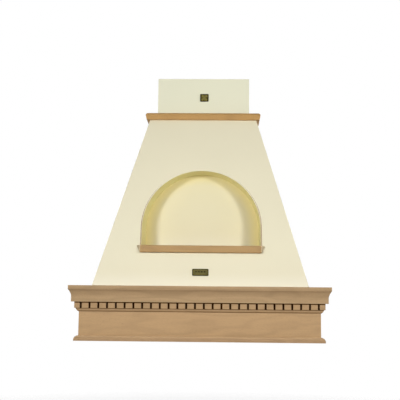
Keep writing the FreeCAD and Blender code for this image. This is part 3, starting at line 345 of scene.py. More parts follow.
def archTint(finish, colours, place, setup=paintSetup):
    # The lining's front edge lies in the dome's slope and has the dome's colour.
    # Its upright sides are painted a little darker towards the shelf, as shade.
    lower = finish.fall(place[2], *setup["sideFade"])
    shadedSides = finish.mix(lower * setup["sideShadeShare"], colours, shaded(setup["rawBoard"], 0.2))
    return finish.mix(finish.rise(behindSlope(place), *setup["edge"]), shaded(setup["cream"]), shadedSides)


def nicheTint(finish, colours, place, setup=paintSetup):
    # Painted shade and bounce light: the back takes the lining's yellow tone within a few centimetres of the
    # arch, where the side shadows fall. It is paler above the shelf.
    outer, reach = setup["archRadius"], archReach(place)
    edgeShade = finish.rise(reach, outer - setup["archFade"][0], outer - setup["archFade"][1])
    lower = finish.fall(place[2], *setup["backFade"])
    paler = finish.mix(lower * setup["backShare"], colours, shaded(setup["nicheFoot"]))
    return finish.mix(edgeShade, paler, shaded(setup["nicheEdgeShade"]))


def footLight(finish, colours, place, setup=paintSetup):
    # Painted light: the dome's front is paler in the last centimetres above the crown, as light bounced up from
    # it.
    lower = finish.fall(place[2], *setup["footFade"])
    return finish.mix(lower * setup["footLightShare"], colours, shaded(setup["domeFootLit"]))


def paint(name, colour, behind, tint=None, setup=paintSetup):
    finish = newFinish(name)
    spot = finish.where()
    place = finish.split(spot)
    cloud = finish.ramp(finish.noise(spot, setup["cloudPerMetre"], 3.0, 0.5), (0.3, 0.0), (0.7, 1.0))
    peel = finish.noise(spot, setup["peelPerMetre"], 2.0, 0.5)
    fuzz = finish.noise(spot, setup["fuzzPerMetre"], 4.0, 0.7)
    shade = setup["cloudShade"]
    colours = finish.mix(cloud, shaded(colour, 1.0 - shade), shaded(colour, 1.0 + shade))
    if tint:
        colours = tint(finish, colours, place)
    raw = finish.rise(behind(place), *setup["skin"])
    board, shade = setup["rawBoard"], setup["rawShade"]
    rough = finish.ramp(fuzz, (0.3, 0.0), (0.7, 1.0))
    rawColour = finish.mix(rough, shaded(board, 1.0 - shade), shaded(board, 1.0 + shade))
    return finish.surface({
        "Base Color": finish.mix(raw, colours, rawColour),
        "Roughness": setup["roughness"] + peel * 0.12 + raw * 0.30,
        "Normal": finish.bump(peel + fuzz * raw, setup["peel"], 0.0004),
    })


# Planed pine of the hidden battens and cleats.
pineSetup = {
    "early": (0.640, 0.450, 0.230),
    "late": (0.430, 0.240, 0.090),
    "ringsPerMetre": 160.0,
    "bend": 0.03,
    "slow": (1.0, 0.15),
    "fibres": (1100.0, 18.0),
}


def pine(name, along, seed, setup=pineSetup):
    # Bands are sines of the place across the board, bent by stretched noise.
    finish = newFinish(name)
    spot = finish.where(stretched(along, *setup["slow"]), (seed, seed, seed))
    split = finish.split(spot)
    across, depth = [i for i in range(3) if "XYZ"[i] != along]
    place = split[across] + split[depth] * 0.7 + finish.noise(spot, 16.0, 3.0, 0.55) * setup["bend"]
    rings = finish.sine(place * (2.0 * math.pi * setup["ringsPerMetre"]))
    fibres = finish.noise(finish.where(stretched(along, *setup["fibres"])), 1.0, 2.0)
    colours = finish.mix((rings * 0.5 + 0.5) ** 3.0 * 0.8, shaded(setup["early"]), shaded(setup["late"], 1.3))
    return finish.surface({
        "Base Color": finish.mix(fibres * 0.35, colours, shaded(setup["early"], 0.8)),
        "Roughness": 0.6 + fibres * 0.15,
        "Normal": finish.bump(fibres, 0.3, 0.0003),
    })


# Sheet metals: brushed, zinc coated, and rolled.
metalSetup = {
    "stainless": (0.600, 0.590, 0.570),
    "galvanised": (0.540, 0.555, 0.565),
    "filterMetal": (0.660, 0.660, 0.650),
    "wheelMetal": (0.500, 0.515, 0.530),
    "chrome": (0.720, 0.720, 0.725),
    "brush": 1300.0,
    "brushLength": 14.0,
    "rolled": 900.0,
    "wire": 300.0,
    "spanglesPerMetre": 70.0,
}


def brushed(name, colour, stretch, roughness):
    # The brushing is noise that is long along one axis and fine across it.
    finish = newFinish(name)
    lines = finish.noise(finish.where(stretch), 1.0, 3.0, 0.6)
    cloud = finish.noise(finish.where(), 9.0, 2.0)
    colours = finish.mix(lines, shaded(colour, 0.88), shaded(colour, 1.08))
    return finish.surface({
        "Base Color": finish.mix(cloud * 0.3, colours, shaded(colour, 0.8)),
        "Metallic": 1.0,
        "Roughness": roughness + lines * 0.14 + cloud * 0.06,
        "Normal": finish.bump(lines, 0.12, 0.0002),
    })


def spangled(name, colour, setup=metalSetup):
    # Zinc crystals are cells with their own shade, and a softer noise dulls them.
    finish = newFinish(name)
    spot = finish.where()
    sockets = {"Vector": spot, "Scale": setup["spanglesPerMetre"], "Randomness": 1.0}
    cells = finish.add("TexVoronoi", {"feature": "F1"}, sockets, out="Color")
    shade = finish.add("SeparateColor", None, {0: cells})
    cloud = finish.noise(spot, 6.0, 3.0)
    colours = finish.mix(shade * 0.8, shaded(colour, 0.80), shaded(colour, 1.10))
    return finish.surface({
        "Base Color": finish.mix(cloud * 0.4, colours, shaded(colour, 0.72)),
        "Metallic": 0.9,
        "Roughness": 0.34 + shade * 0.16 + cloud * 0.1,
    })


# Cast plates in dark bronze. Raised parts are rubbed lighter.
bronzeSetup = {
    "rim": (0.044, 0.033, 0.004),
    "longField": (0.122, 0.108, 0.036),
    "squareField": (0.016, 0.010, 0.001),
    "rubbed": (0.205, 0.172, 0.045),
    "dark": (0.022, 0.015, 0.002),
    "patinaPerMetre": 260.0,
    "patinaShare": 0.40,
    "gritPerMetre": 1500.0,
    "fieldEdge": 0.0006,
    "square": {"middle": (0.0030, 0.9185), "half": (0.0140, 0.0125)},
    "long": {"middle": (0.0, 0.2390), "half": (0.0265, 0.0100)},
}


def bronze(name, tone, high, field=None, setup=bronzeSetup):
    # Patina noise mixes the tone with a second one. With a field given, both
    # stay inside its half sizes, and the rim round it is dark.
    finish = newFinish(name)
    spot = finish.where()
    patina = finish.noise(spot, setup["patinaPerMetre"], 4.0, 0.6)
    grit = finish.noise(spot, setup["gritPerMetre"], 2.0)
    share = finish.ramp(patina, (0.46, 0.0), (0.66, 1.0)) * setup["patinaShare"]
    colours = finish.mix(share, shaded(tone), shaded(high))
    if field:
        place, edge = finish.split(spot), setup["fieldEdge"]
        (middleX, middleZ), (halfX, halfZ) = field["middle"], field["half"]
        across = finish.rise((place[0] - middleX).size(), halfX - edge, halfX)
        upward = finish.rise((place[2] - middleZ).size(), halfZ - edge, halfZ)
        colours = finish.mix(finish.most(across, upward), colours, shaded(setup["rim"]))
    return finish.surface({
        "Base Color": colours,
        "Metallic": 0.10,
        "Roughness": 0.55 + patina * 0.2,
        "Specular IOR Level": 0.12,
        "Normal": finish.bump(patina + grit * 0.4, 0.35, 0.0003),
    })


# Moulded plastics and the motor's enamel.
mouldedSetup = {
    "enamel": (0.040, 0.042, 0.045),
    "black": (0.022, 0.022, 0.024),
    "grey": (0.300, 0.305, 0.310),
    "grainPerMetre": 1400.0,
    "enamelGrainPerMetre": 500.0,
}


def moulded(name, colour, roughness, grainPerMetre=mouldedSetup["grainPerMetre"]):
    finish = newFinish(name)
    grain = finish.noise(finish.where(), grainPerMetre, 2.0)
    return finish.surface({
        "Base Color": finish.mix(grain, shaded(colour, 0.9), shaded(colour, 1.12)),
        "Roughness": roughness + grain * 0.12,
        "Normal": finish.bump(grain, 0.15, 0.0002),
    })


lensSetup = {"dim": (0.86, 0.88, 0.86), "clear": (0.94, 0.95, 0.93), "cloudPerMetre": 220.0}


def frosted(name, setup=lensSetup):
    # A lamp's glass, with a faint cloud in its frosting.
    finish = newFinish(name)
    cloud = finish.noise(finish.where(), setup["cloudPerMetre"], 2.0)
    return finish.surface({
        "Base Color": finish.mix(cloud, shaded(setup["dim"]), shaded(setup["clear"])),
        "Transmission Weight": 0.55,
        "IOR": 1.5,
        "Roughness": 0.28 + cloud * 0.2,
        "Normal": finish.bump(cloud, 0.2, 0.0003),
    })


plywoodSetup = {
    "dark": (0.52, 0.36, 0.19),
    "light": (0.66, 0.50, 0.30),
    "stain": (0.45, 0.30, 0.16),
    "fibres": (900.0, 900.0, 22.0),
}


def plywood(name, setup=plywoodSetup):
    # The face shows fibres, and softer patches are stained.
    finish = newFinish(name)
    fibres = finish.noise(finish.where(setup["fibres"]), 1.0, 3.0)
    cloud = finish.noise(finish.where(), 7.0, 2.0)
    face = finish.mix(fibres, shaded(setup["dark"]), shaded(setup["light"]))
    return finish.surface({
        "Base Color": finish.mix(cloud * 0.3, face, shaded(setup["stain"])),
        "Roughness": 0.6 + fibres * 0.15,
        "Normal": finish.bump(fibres, 0.25, 0.0003),
    })


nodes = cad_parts


def dress(material, *names):
    for name in names:
        for slot in nodes[name].material_slots:
            slot.material = material


# Painted shade in the mouldings: dark in the dentils' kerfs, under the crown's
# overhang and the teeth, at the bed's foot and under the cove's top edge; a
# painted highlight on the bead's top; paler shelf ends. Levels are heights in
# metres, and reach is how far behind the teeth's faces the dark of a gap is
# full. A band gives where a mark begins and ends, counted from its level, and
# its share.
markSetup = {
    "teethFoot": 0.1115,
    "crownFoot": 0.1330,
    "bedFoot": 0.1000,
    "faces": {"dentil_front": (1, 0.4789), "dentil_left": (0, 0.4304), "dentil_right": (0, -0.4304)},
    "reach": (0.0002, 0.0010),
    "gapShare": 0.97,
    "topBand": (-0.0044, -0.0032, 0.96),
    "footBand": (-0.0026, -0.0012, 0.0005, 0.85),
    "bedBand": (0.0005, 0.0045, 0.55),
    "beadTop": 0.0180,
    "beadHighlight": (0.700, 0.500, 0.290),
    "beadHighlightShare": 0.60,
    "beadLowerShare": 0.28,
    "filletShadow": (0.1660, 0.1749, 0.1750, 0.1753, 0.12),
    "coveVeilShadow": (0.1460, 0.1660, 0.1780, 0.1840, 0.13),
    "shelfEnd": (0.2140, 0.2165),
    "shelfEndColour": (0.620, 0.530, 0.360),
    "shelfShare": 0.75,
}


def toothShade(board, setup=markSetup):
    axis, face = setup["faces"][board]
    foot = setup["teethFoot"]

    # Painted shadow: dark in the kerfs, under the crown's overhang, under the teeth and at the bed's foot.
    def shadeAndWear(finish, colour, place):
        # Depth is counted inwards from the teeth's faces.
        depth = place[axis] + face if face > 0 else (-1.0) * (place[axis] + face)
        gap = finish.rise(depth, *setup["reach"]) * finish.rise(place[2], foot, foot + 0.0004)
        low, high, share = setup["topBand"]
        top = finish.rise(place[2], setup["crownFoot"] + low, setup["crownFoot"] + high) * share
        low, high, end, share = setup["footBand"]
        under = finish.rise(place[2], foot + low, foot + high) * finish.fall(place[2], foot, foot + end) * share
        low, high, share = setup["bedBand"]
        bed = finish.fall(place[2], setup["bedFoot"] + low, setup["bedFoot"] + high) * share
        dark = finish.most(finish.most(gap * setup["gapShare"], top), finish.most(under, bed))
        return finish.mix(dark, colour, shaded(beechSetup["shadeBrown"]))
    return shadeAndWear


def beadTint(finish, colour, place, setup=markSetup):
    # Painted highlight: the upper edge is paler. The lower part is darker.
    top = setup["beadTop"]
    pale = finish.rise(place[2], 0.60 * top, 0.92 * top)
    lower = finish.fall(place[2], 0.0, 0.7 * top)
    darkerLower = finish.mix(lower * setup["beadLowerShare"], colour, shaded(beechSetup["bead"], 0.55))
    return finish.mix(pale * setup["beadHighlightShare"], darkerLower, shaded(setup["beadHighlight"]))


def coveShade(finish, colour, place, setup=markSetup):
    # Painted shadow under the crown's top edge, and a fainter painted shade over the cove.
    marks = []
    for start, full, fading, end, share in (setup["filletShadow"], setup["coveVeilShadow"]):
        marks.append(finish.rise(place[2], start, full) * finish.fall(place[2], fading, end) * share)
    return finish.mix(marks[0] + marks[1], colour, shaded(beechSetup["shadeBrown"]))


def shelfEndTint(finish, colour, place, setup=markSetup):
    # The slanted ends are paler and greyer than the long edge.
    ends = finish.rise(place[0].size(), *setup["shelfEnd"])
    return finish.mix(ends * setup["shelfShare"], colour, shaded(setup["shelfEndColour"]))


boards = [
    ("front_fascia", "fascia", "X", 0.31, None), ("left_fascia", "fascia", "Y", 1.27, None),
    ("right_fascia", "fascia", "Y", 2.11, None), ("ledge_front", "fascia", "X", 3.43, None),
    ("ledge_left", "fascia", "Y", 3.91, None), ("ledge_right", "fascia", "Y", 4.37, None),
    ("base_bead_front", "bead", "X", 5.13, beadTint), ("base_bead_left", "bead", "Y", 5.71, beadTint),
    ("base_bead_right", "bead", "Y", 6.17, beadTint), ("crown_front", "crown", "X", 7.39, coveShade),
    ("crown_left", "crown", "Y", 7.83, coveShade), ("crown_right", "crown", "Y", 8.29, coveShade),
    ("dentil_front", "dentil", "X", 9.41, toothShade("dentil_front")),
    ("dentil_left", "dentil", "Y", 9.97, toothShade("dentil_left")),
    ("dentil_right", "dentil", "Y", 10.33, toothShade("dentil_right")),
    ("collar_front", "collar", "X", 11.3, None), ("collar_left", "collar", "Y", 11.9, None),
    ("collar_right", "collar", "Y", 12.4, None), ("niche_shelf", "shelf", "X", 13.7, shelfEndTint),
]
# The last column paints shade and highlight into a board's colour, or paler ends on the shelf.
for board, tone, direction, seed, shadeAndWear in boards:  # name, tone, grain's axis, seed, wear
    dress(beech("beech_" + board, beechSetup[tone], direction, seed, shadeAndWear), board)
for node, tone, behind, tint in [
    ("dome_front_panel", "cream", behindSlope, footLight), ("dome_left_panel", "cream", behindSide, None),
    ("dome_right_panel", "cream", behindSide, None), ("chimney_front", "chimney", behindChimneyFront, None),
    ("chimney_left", "chimney", behindChimneySide, None), ("chimney_right", "chimney", behindChimneySide, None),
    ("niche_back", "nicheBack", behindNiche, nicheTint), ("niche_arch", "nicheArch", behindArch, archTint),
]:
    dress(paint("paint_" + node, paintSetup[tone], behind, tint), node)
dress(pine("pine_along_x", "X", 0.7), "back_rail", "upper_wall_batten", "chimney_wall_batten", "shelf_cleat")
dress(pine("pine_along_y", "Y", 1.9), "insert_cleats")
dress(pine("pine_upright", "Z", 2.6), "corner_blocks", "dome_corner_battens")
dress(plywood("plywood_sheet"), "top_frame")
brush, brushLength = metalSetup["brush"], metalSetup["brushLength"]
rolled, wire = metalSetup["rolled"], metalSetup["wire"]
dress(
    brushed("stainless_sheet", metalSetup["stainless"], (brushLength, brush, brush), 0.26),
    "insert_pan", "flap_pin",
)
dress(
    spangled("zinc_sheet", metalSetup["galvanised"]),
    "plenum_box", "scroll_housing", "motor_bracket", "outlet_spigot",
)
dress(
    brushed("filter_sheet", metalSetup["filterMetal"], (brush, brushLength, brush), 0.36),
    "left_filter", "right_filter",
)
dress(
    brushed("rolled_sheet", metalSetup["wheelMetal"], (brushLength, rolled, rolled), 0.40),
    "impeller", "rear_flap", "front_flap", "filter_stops",
)
dress(
    brushed("chrome_wire", metalSetup["chrome"], (wire, wire, wire), 0.12),
    "left_handle", "right_handle", "lamp_bezels",
)
dress(moulded("motor_enamel", mouldedSetup["enamel"], 0.42, mouldedSetup["enamelGrainPerMetre"]), "motor")
dress(moulded("black_plastic", mouldedSetup["black"], 0.40), "switch_box", "cable_gland", "button_panel")
dress(moulded("grey_plastic", mouldedSetup["grey"], 0.38), "button_1", "button_2", "button_3")
dress(frosted("lens_glass"), "lamp_lenses")
for plate, field in [("upper_badge", "square"), ("lower_badge", "long")]:
    dress(bronze("bronze_" + field, bronzeSetup[field + "Field"], bronzeSetup["rim"], bronzeSetup[field]), plate)
print("finishes assigned:", len(bpy.data.materials), "materials")


def turned(profile, around):
    # A profile of radius and height, carried round the height's axis: each
    # point is (radius cos angle, radius sin angle, height).
    angle = np.linspace(0.0, 2.0 * math.pi, around, endpoint=False)
    radius, height = np.asarray(profile).T
    flat = np.stack([np.outer(radius, np.cos(angle)), np.outer(radius, np.sin(angle))], axis=-1)
    return np.concatenate([flat, np.repeat(height[:, None, None], around, axis=1)], axis=-1)


def placed(local, centre, across, upward, outward):
    # centre + u across + v upward + n outward, for local points (u, v, n).
    return np.asarray(centre) + local @ np.array([across, upward, outward])


def solid(rings, looped=False):
    # Neighbouring rings are joined by triangles. The end rings are closed by a
    # fan to their middles, unless the rings follow a loop. The faces are turned
    # round where the signed volume comes out negative.
    count, around = rings.shape[:2]
    index = np.arange(count * around).reshape(count, around)
    beside = np.roll(index, -1, axis=1)
    nextIndex, nextBeside = np.roll(index, -1, axis=0), np.roll(beside, -1, axis=0)
    reach = count if looped else count - 1
    near, nearBeside, farBeside, far = [
        part[:reach].reshape(-1) for part in (index, beside, nextBeside, nextIndex)
    ]
    faces = [np.stack([near, nearBeside, farBeside], axis=-1), np.stack([near, farBeside, far], axis=-1)]
    points = rings.reshape(-1, 3)
    if not looped:
        low, high = np.full(around, count * around), np.full(around, count * around + 1)
        faces.append(np.stack([beside[0], index[0], low], axis=-1))
        faces.append(np.stack([index[-1], beside[-1], high], axis=-1))
        points = np.concatenate([points, [rings[0].mean(axis=0), rings[-1].mean(axis=0)]])
    faces = np.concatenate(faces)
    first, second, third = (points[faces[:, i]] - points.mean(axis=0) for i in range(3))
    volume = np.einsum("ij,ij->", first, np.cross(second, third))
    return points, faces if volume > 0.0 else faces[:, ::-1]


def makePiece(name, solids, body, material, creaseAngle=35.0):
    # Joins closed solids in one mesh, in their places, and lets it ride.
    starts = np.cumsum([0] + [len(points) for points, faces in solids[:-1]])
    allPoints = np.concatenate([points for points, faces in solids])
    allFaces = np.concatenate([faces + start for start, (points, faces) in zip(starts, solids)])
    mesh = bpy.data.meshes.new(name)
    mesh.from_pydata(allPoints.tolist(), [], allFaces.tolist())
    mesh.shade_smooth()
    mesh.set_sharp_from_angle(angle=math.radians(creaseAngle))
    mesh.materials.append(material)
    piece = bpy.data.objects.new(name, mesh)
    bpy.context.scene.collection.objects.link(piece)
    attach(piece, body)


def bowl(radius, height, sink, steps=7):
    # A low dome: height falls off as the square root of 1 - (r / radius)^2.
    swing = np.linspace(0.0, 0.5 * math.pi, steps + 1)[:-1]  # the last point is the one at the middle
    dome = np.stack([radius * np.cos(swing), height * np.sin(swing)], axis=-1)
    return np.concatenate([[[radius, -sink]], dome, [[radius * 0.04, height]]])


# A rosette of four leaves in the square plate, with a bead between each two.
rosetteSetup = {
    "middle": (0.0030, -0.2668, 0.9185),
    "radius": 0.0152,
    "petals": 4,
    "turn": 0.73,
    "notch": 0.62,
    "height": 0.0013,
    "bossRadius": 0.0028,
    "bossHeight": 0.0017,
    "petalPower": 0.6,
    "gapHeight": 0.15,
    "rings": 18,
    "anglesPerPetal": 32,
    "beadOut": (0.0112, 0.0098),
    "beadRadius": 0.0016,
    "beadHeight": 0.0010,
    "sink": 0.0002,
}


def makeRosette(setup, body, material):
    # The outline is radius (1 - notch (1 - |cos(petals angle / 2)|)), and all
    # angles are then turned. A petal's height is the sine of its place along the
    # radius, to the petal power, times how far the angle is from the gap between
    # petals. The boss is a dome.
    angle = np.linspace(0.0, 2.0 * math.pi, setup["anglesPerPetal"] * setup["petals"], endpoint=False)
    petal = np.abs(np.cos(0.5 * setup["petals"] * angle))
    outline = setup["radius"] * (1.0 - setup["notch"] * (1.0 - petal))
    share = np.linspace(1.0, 0.03, setup["rings"])[:, None]
    reach = share * outline
    across = setup["gapHeight"] + (1.0 - setup["gapHeight"]) * petal ** 0.7
    leaf = setup["height"] * np.sin(math.pi * share) ** setup["petalPower"] * across
    boss = setup["bossHeight"] * np.sqrt(np.clip(1.0 - (reach / setup["bossRadius"]) ** 2, 0.0, 1.0))
    facing = angle + setup["turn"]
    rings = np.stack([reach * np.cos(facing), reach * np.sin(facing), np.maximum(leaf, boss)], axis=-1)
    back = rings[:1] * np.array([1.0, 1.0, 0.0]) - np.array([0.0, 0.0, setup["sink"]])
    axes = ((1.0, 0.0, 0.0), (0.0, 0.0, 1.0), (0.0, -1.0, 0.0))
    solids = [solid(placed(np.concatenate([back, rings]), setup["middle"], *axes))]
    bead = turned(bowl(setup["beadRadius"], setup["beadHeight"], setup["sink"]), 16)
    outX, outZ = setup["beadOut"]
    for offset in ((-outX, 0.0, 0.0), (0.0, outZ, 0.0), (outX, 0.0, 0.0), (0.0, -outZ, 0.0)):
        solids.append(solid(placed(bead + np.array(offset), setup["middle"], *axes)))
    makePiece("upper_badge_rosette", solids, body, material)


# A wire border, a row of pearls and a bar in the long plate.
pearlSetup = {
    "height": 0.2390,
    "floorGap": 0.0018,
    "border": (0.0240, 0.0078),
    "squareness": 7.0,
    "borderPoints": 96,
    "wire": 0.0006,
    "wirePoints": 10,
    "pearls": 4,
    "pearlPitch": 0.0104,
    "pearlRadius": 0.0023,
    "pearlHeight": 0.0014,
    "pearlUp": 0.0024,
    "barLength": 0.0340,
    "barRadius": 0.0010,
    "barDown": 0.0036,
    "barPoints": 25,
    "sink": 0.0002,
}


def makePearls(setup, body, material, pearlMaterial):
    # The border follows |x / a|^p + |z / b|^p = 1 with a round wire. The bar's
    # radius is its middle one times the eighth root of 1 - (place / half)^8.
    # All stand on the plate's field, which leans with the dome's front.
    slope, (footY, footZ) = paintSetup["slope"], paintSetup["slopeFoot"]
    tilt = math.hypot(1.0, slope)
    middle = (0.0, footY + (setup["height"] - footZ) * slope - setup["floorGap"], setup["height"])
    across = (1.0, 0.0, 0.0)
    upward = (0.0, slope / tilt, 1.0 / tilt)
    outward = (0.0, -1.0 / tilt, slope / tilt)
    swing = np.linspace(0.0, 2.0 * math.pi, setup["borderPoints"], endpoint=False)
    power = 2.0 / setup["squareness"]
    sideX, sideZ = [np.sign(wave) * np.abs(wave) ** power for wave in (np.cos(swing), np.sin(swing))]
    flat = np.zeros_like(swing)
    line = np.stack([setup["border"][0] * sideX, setup["border"][1] * sideZ, flat], axis=-1)[:, None, :]
    away = np.stack([sideX, sideZ, flat], axis=-1)[:, None, :]
    away = away / np.linalg.norm(away, axis=-1, keepdims=True)
    turn = np.linspace(0.0, 2.0 * math.pi, setup["wirePoints"], endpoint=False)[None, :, None]
    border = line + setup["wire"] * (np.cos(turn) * away + np.sin(turn) * np.array([0.0, 0.0, 1.0]))
    solids = [solid(placed(border, middle, across, upward, outward), looped=True)]
    along = np.sin(np.linspace(-0.49 * math.pi, 0.49 * math.pi, setup["barPoints"]))
    barRadius = setup["barRadius"] * (1.0 - along ** 8) ** 0.125
    bar = turned(np.stack([barRadius, 0.5 * setup["barLength"] * along], axis=-1), 12)
    barMiddle = placed(np.array([0.0, -setup["barDown"], 0.0]), middle, across, upward, outward)
    solids.append(solid(placed(bar, barMiddle, upward, outward, across)))
    makePiece("lower_badge_border", solids, body, material)
    pearl = turned(bowl(setup["pearlRadius"], setup["pearlHeight"], setup["sink"]), 18)
    pearls = []
    for step in np.arange(setup["pearls"]) - 0.5 * (setup["pearls"] - 1):
        offset = np.array([step * setup["pearlPitch"], setup["pearlUp"], 0.0])
        pearls.append(solid(placed(pearl + offset, middle, across, upward, outward)))
    makePiece("lower_badge_pearls", pearls, body, pearlMaterial)


# Pan-head screws with a cross recess hold the pan to its cleats.
screwSetup = {
    "placesX": (-0.3855, 0.3855),
    "placesY": (-0.055, -0.232, -0.410),
    "level": 0.0450,
    "radius": 0.0040,
    "height": 0.0022,
    "sink": 0.0001,
    "recessHalf": 0.0005,
    "recessReach": 0.0021,
    "recessDepth": 0.0013,
}


def makeScrews(setup, body, material):
    # The head is a dome less a cross: the depth of the recess times how far the
    # smaller of |u| and |v| lies inside the slot's half width.
    head = turned(bowl(setup["radius"], setup["height"], setup["sink"], 22), 72)
    sizes, half = np.abs(head[..., :2]), setup["recessHalf"]
    narrow = np.clip((1.5 * half - sizes.min(axis=-1)) / (0.5 * half), 0.0, 1.0)
    inside = np.clip((setup["recessReach"] - sizes.max(axis=-1)) / (0.3 * half), 0.0, 1.0)
    head[..., 2] -= setup["recessDepth"] * narrow * inside
    axes = ((1.0, 0.0, 0.0), (0.0, 1.0, 0.0), (0.0, 0.0, -1.0))
    spots = [(x, y, setup["level"]) for x in setup["placesX"] for y in setup["placesY"]]
    makePiece("pan_screws", [solid(placed(head, spot, *axes)) for spot in spots], body, material)


# Blind rivets: round the outlet's flange, and along the plenum's rear sheet.
rivetSetup = {
    "radius": 0.0024,
    "height": 0.0009,
    "sink": 0.0001,
    "hole": 0.0008,
    "holeDepth": 0.0004,
    "flangeRivets": 8,
    "flangeCircle": 0.0835,
    "flangeMiddle": (0.0, -0.1100, 0.2865),
    "rearY": -0.0300,
    "rearX": (-0.3060, 0.3060, 9),
    "rearZ": (0.0600, 0.2740, 4),
}


def makeRivets(setup, body, material):
    # A dome whose middle dips where the mandrel was pulled off.
    rivet = turned(bowl(setup["radius"], setup["height"], setup["sink"], 8), 18)
    rivet[..., 2] -= setup["holeDepth"] * (np.hypot(rivet[..., 0], rivet[..., 1]) < setup["hole"])
    up = ((1.0, 0.0, 0.0), (0.0, 1.0, 0.0), (0.0, 0.0, 1.0))
    swing = (np.arange(setup["flangeRivets"]) + 0.5) * 2.0 * math.pi / setup["flangeRivets"]
    ring = np.stack([np.cos(swing), np.sin(swing), np.zeros_like(swing)], axis=-1) * setup["flangeCircle"]
    solids = [solid(placed(rivet + spot, setup["flangeMiddle"], *up)) for spot in ring]
    makePiece("outlet_rivets", solids, body, material)
    rear = ((1.0, 0.0, 0.0), (0.0, 0.0, 1.0), (0.0, 1.0, 0.0))
    alongX, alongZ = np.linspace(*setup["rearX"]), np.linspace(*setup["rearZ"])
    spots = [(x, z) for x in alongX for z in alongZ[[0, -1]]]
    spots += [(x, z) for x in alongX[[0, -1]] for z in alongZ[1:-1]]
    solids = [solid(placed(rivet, (x, setup["rearY"], z), *rear)) for x, z in spots]
    makePiece("plenum_rivets", solids, body, material)


# Expanded aluminium layers fill each filter's tray behind its slots.
layerSetup = {
    "middleX": 0.1550,
    "halfX": 0.1428,
    "low": (-0.3478, -0.0552),
    "level": 0.0500,
    "thickness": 0.0022,
    "wave": 0.0008,
    "pitch": (0.0100, 0.0065),
    "steps": (104, 104),
    "fade": 0.0040,
    "creaseAngle": 80.0,
    "strandEdge": (0.38, 0.50),
    "strand": (0.700, 0.700, 0.690),
    # The diamonds' dark: painted shade in place of openings.
    "gap": (0.045, 0.045, 0.047),
}


def expandedMetal(name, setup=layerSetup):
    # Strands lie where either of two crossing sines of x / a + y / b and
    # x / a - y / b is near zero, and the diamonds between them are painted dark:
    # painted shade standing in for the mesh's openings.
    finish = newFinish(name)
    spot = finish.where()
    place = finish.split(spot)
    across, along = [place[i] * (math.pi / setup["pitch"][i]) for i in range(2)]
    hole = finish.least(finish.sine(across + along).size(), finish.sine(across - along).size())
    gap = finish.rise(hole, *setup["strandEdge"])
    shadeAndWear = finish.noise(spot, 320.0, 3.0)
    strand = finish.mix(shadeAndWear, shaded(setup["strand"], 0.80), shaded(setup["strand"], 1.10))
    return finish.surface({
        "Base Color": finish.mix(gap, strand, shaded(setup["gap"])),
        "Metallic": 0.9,
        "Roughness": 0.32 + shadeAndWear * 0.15 + gap * 0.3,
        "Normal": finish.bump(gap * (-1.0), 0.5, 0.0008),
    })


def makeLayer(setup, side, body, material):
    # A ring runs once round the layer at each x. Its lower and upper faces wave
    # by the product of the two crossing sines, which fades out at the edges.
    across = np.linspace(-setup["halfX"], setup["halfX"], setup["steps"][0])
    along = np.linspace(setup["low"][0], setup["low"][1], setup["steps"][1])
    gridX, gridY = np.meshgrid(across, np.concatenate([along, along[::-1]]), indexing="ij")
    turnX, turnY = math.pi * gridX / setup["pitch"][0], math.pi * gridY / setup["pitch"][1]
    toEdge = np.minimum(setup["halfX"] - np.abs(gridX), np.minimum(gridY - along[0], along[-1] - gridY))
    fade = np.clip(toEdge / setup["fade"], 0.0, 1.0)
    wave = setup["wave"] * np.sin(turnX + turnY) * np.sin(turnX - turnY) * fade
    lift = np.concatenate([np.zeros_like(along), np.full_like(along, setup["thickness"])])
    rings = np.stack([gridX + side * setup["middleX"], gridY, setup["level"] + wave + lift], axis=-1)
    makePiece(body + "_layer", [solid(rings)], body, material, setup["creaseAngle"])


raised = bronze("bronze_raised", bronzeSetup["rubbed"], bronzeSetup["longField"])
pearlBronze = bronze("bronze_pearls", bronzeSetup["dark"], bronzeSetup["rim"])
makeRosette(rosetteSetup, "chimney", raised)
makePearls(pearlSetup, "hood", raised, pearlBronze)
screwSteel = brushed("screw_steel", metalSetup["stainless"], (rolled, rolled, rolled), 0.24)
rivetSteel = brushed("rivet_steel", metalSetup["chrome"], (rolled, rolled, rolled), 0.30)
makeScrews(screwSetup, "hood", screwSteel)
makeRivets(rivetSetup, "hood", rivetSteel)
layers = expandedMetal("expanded_metal")
makeLayer(layerSetup, -1, "filter_left", layers)
makeLayer(layerSetup, 1, "filter_right", layers)
print("small pieces built")

# Two softboxes at the height of the niche, a pale floor under the hanging
# cover, and a white surround that lights weakly and shows white behind it.
studioSetup = {
    "aim": (0.0, -0.30, 0.28),
    "lamps": [
        {"name": "softboxLeft", "place": (-0.93, -2.60, 0.70), "size": 0.36, "power": 12.0, "spread": 130.0},
        {"name": "softboxRight", "place": (1.16, -2.52, 0.70), "size": 0.36, "power": 12.0, "spread": 130.0},
        {"name": "softboxTop", "place": (0.10, -1.90, 2.60), "size": 1.60, "power": 4.0, "spread": 180.0},
        {"name": "fillLeft", "place": (-2.30, -1.75, 0.50), "size": 0.90, "power": 7.0, "spread": 180.0},
        {"name": "fillRight", "place": (2.40, -1.75, 0.50), "size": 0.90, "power": 7.0, "spread": 180.0},
        {"name": "sideLeft", "place": (-2.50, 0.55, 0.90), "size": 1.50, "power": 18.0, "spread": 180.0},
        {"name": "sideRight", "place": (2.60, 0.55, 0.90), "size": 1.50, "power": 18.0, "spread": 180.0},
        {"name": "back", "place": (0.00, 2.70, 1.00), "size": 1.80, "power": 34.0, "spread": 180.0},
    ],
    "surround": 0.06,
    "floorLevel": -0.90,
    "floorReach": 6.0,
    "floorPoints": 25,
    "floorFade": 2.6,
    "floorDark": (0.80, 0.80, 0.79),
    "floorLight": (0.84, 0.84, 0.83),
    "floorLift": 0.55,
}
white = (1.0, 1.0, 1.0, 1.0)


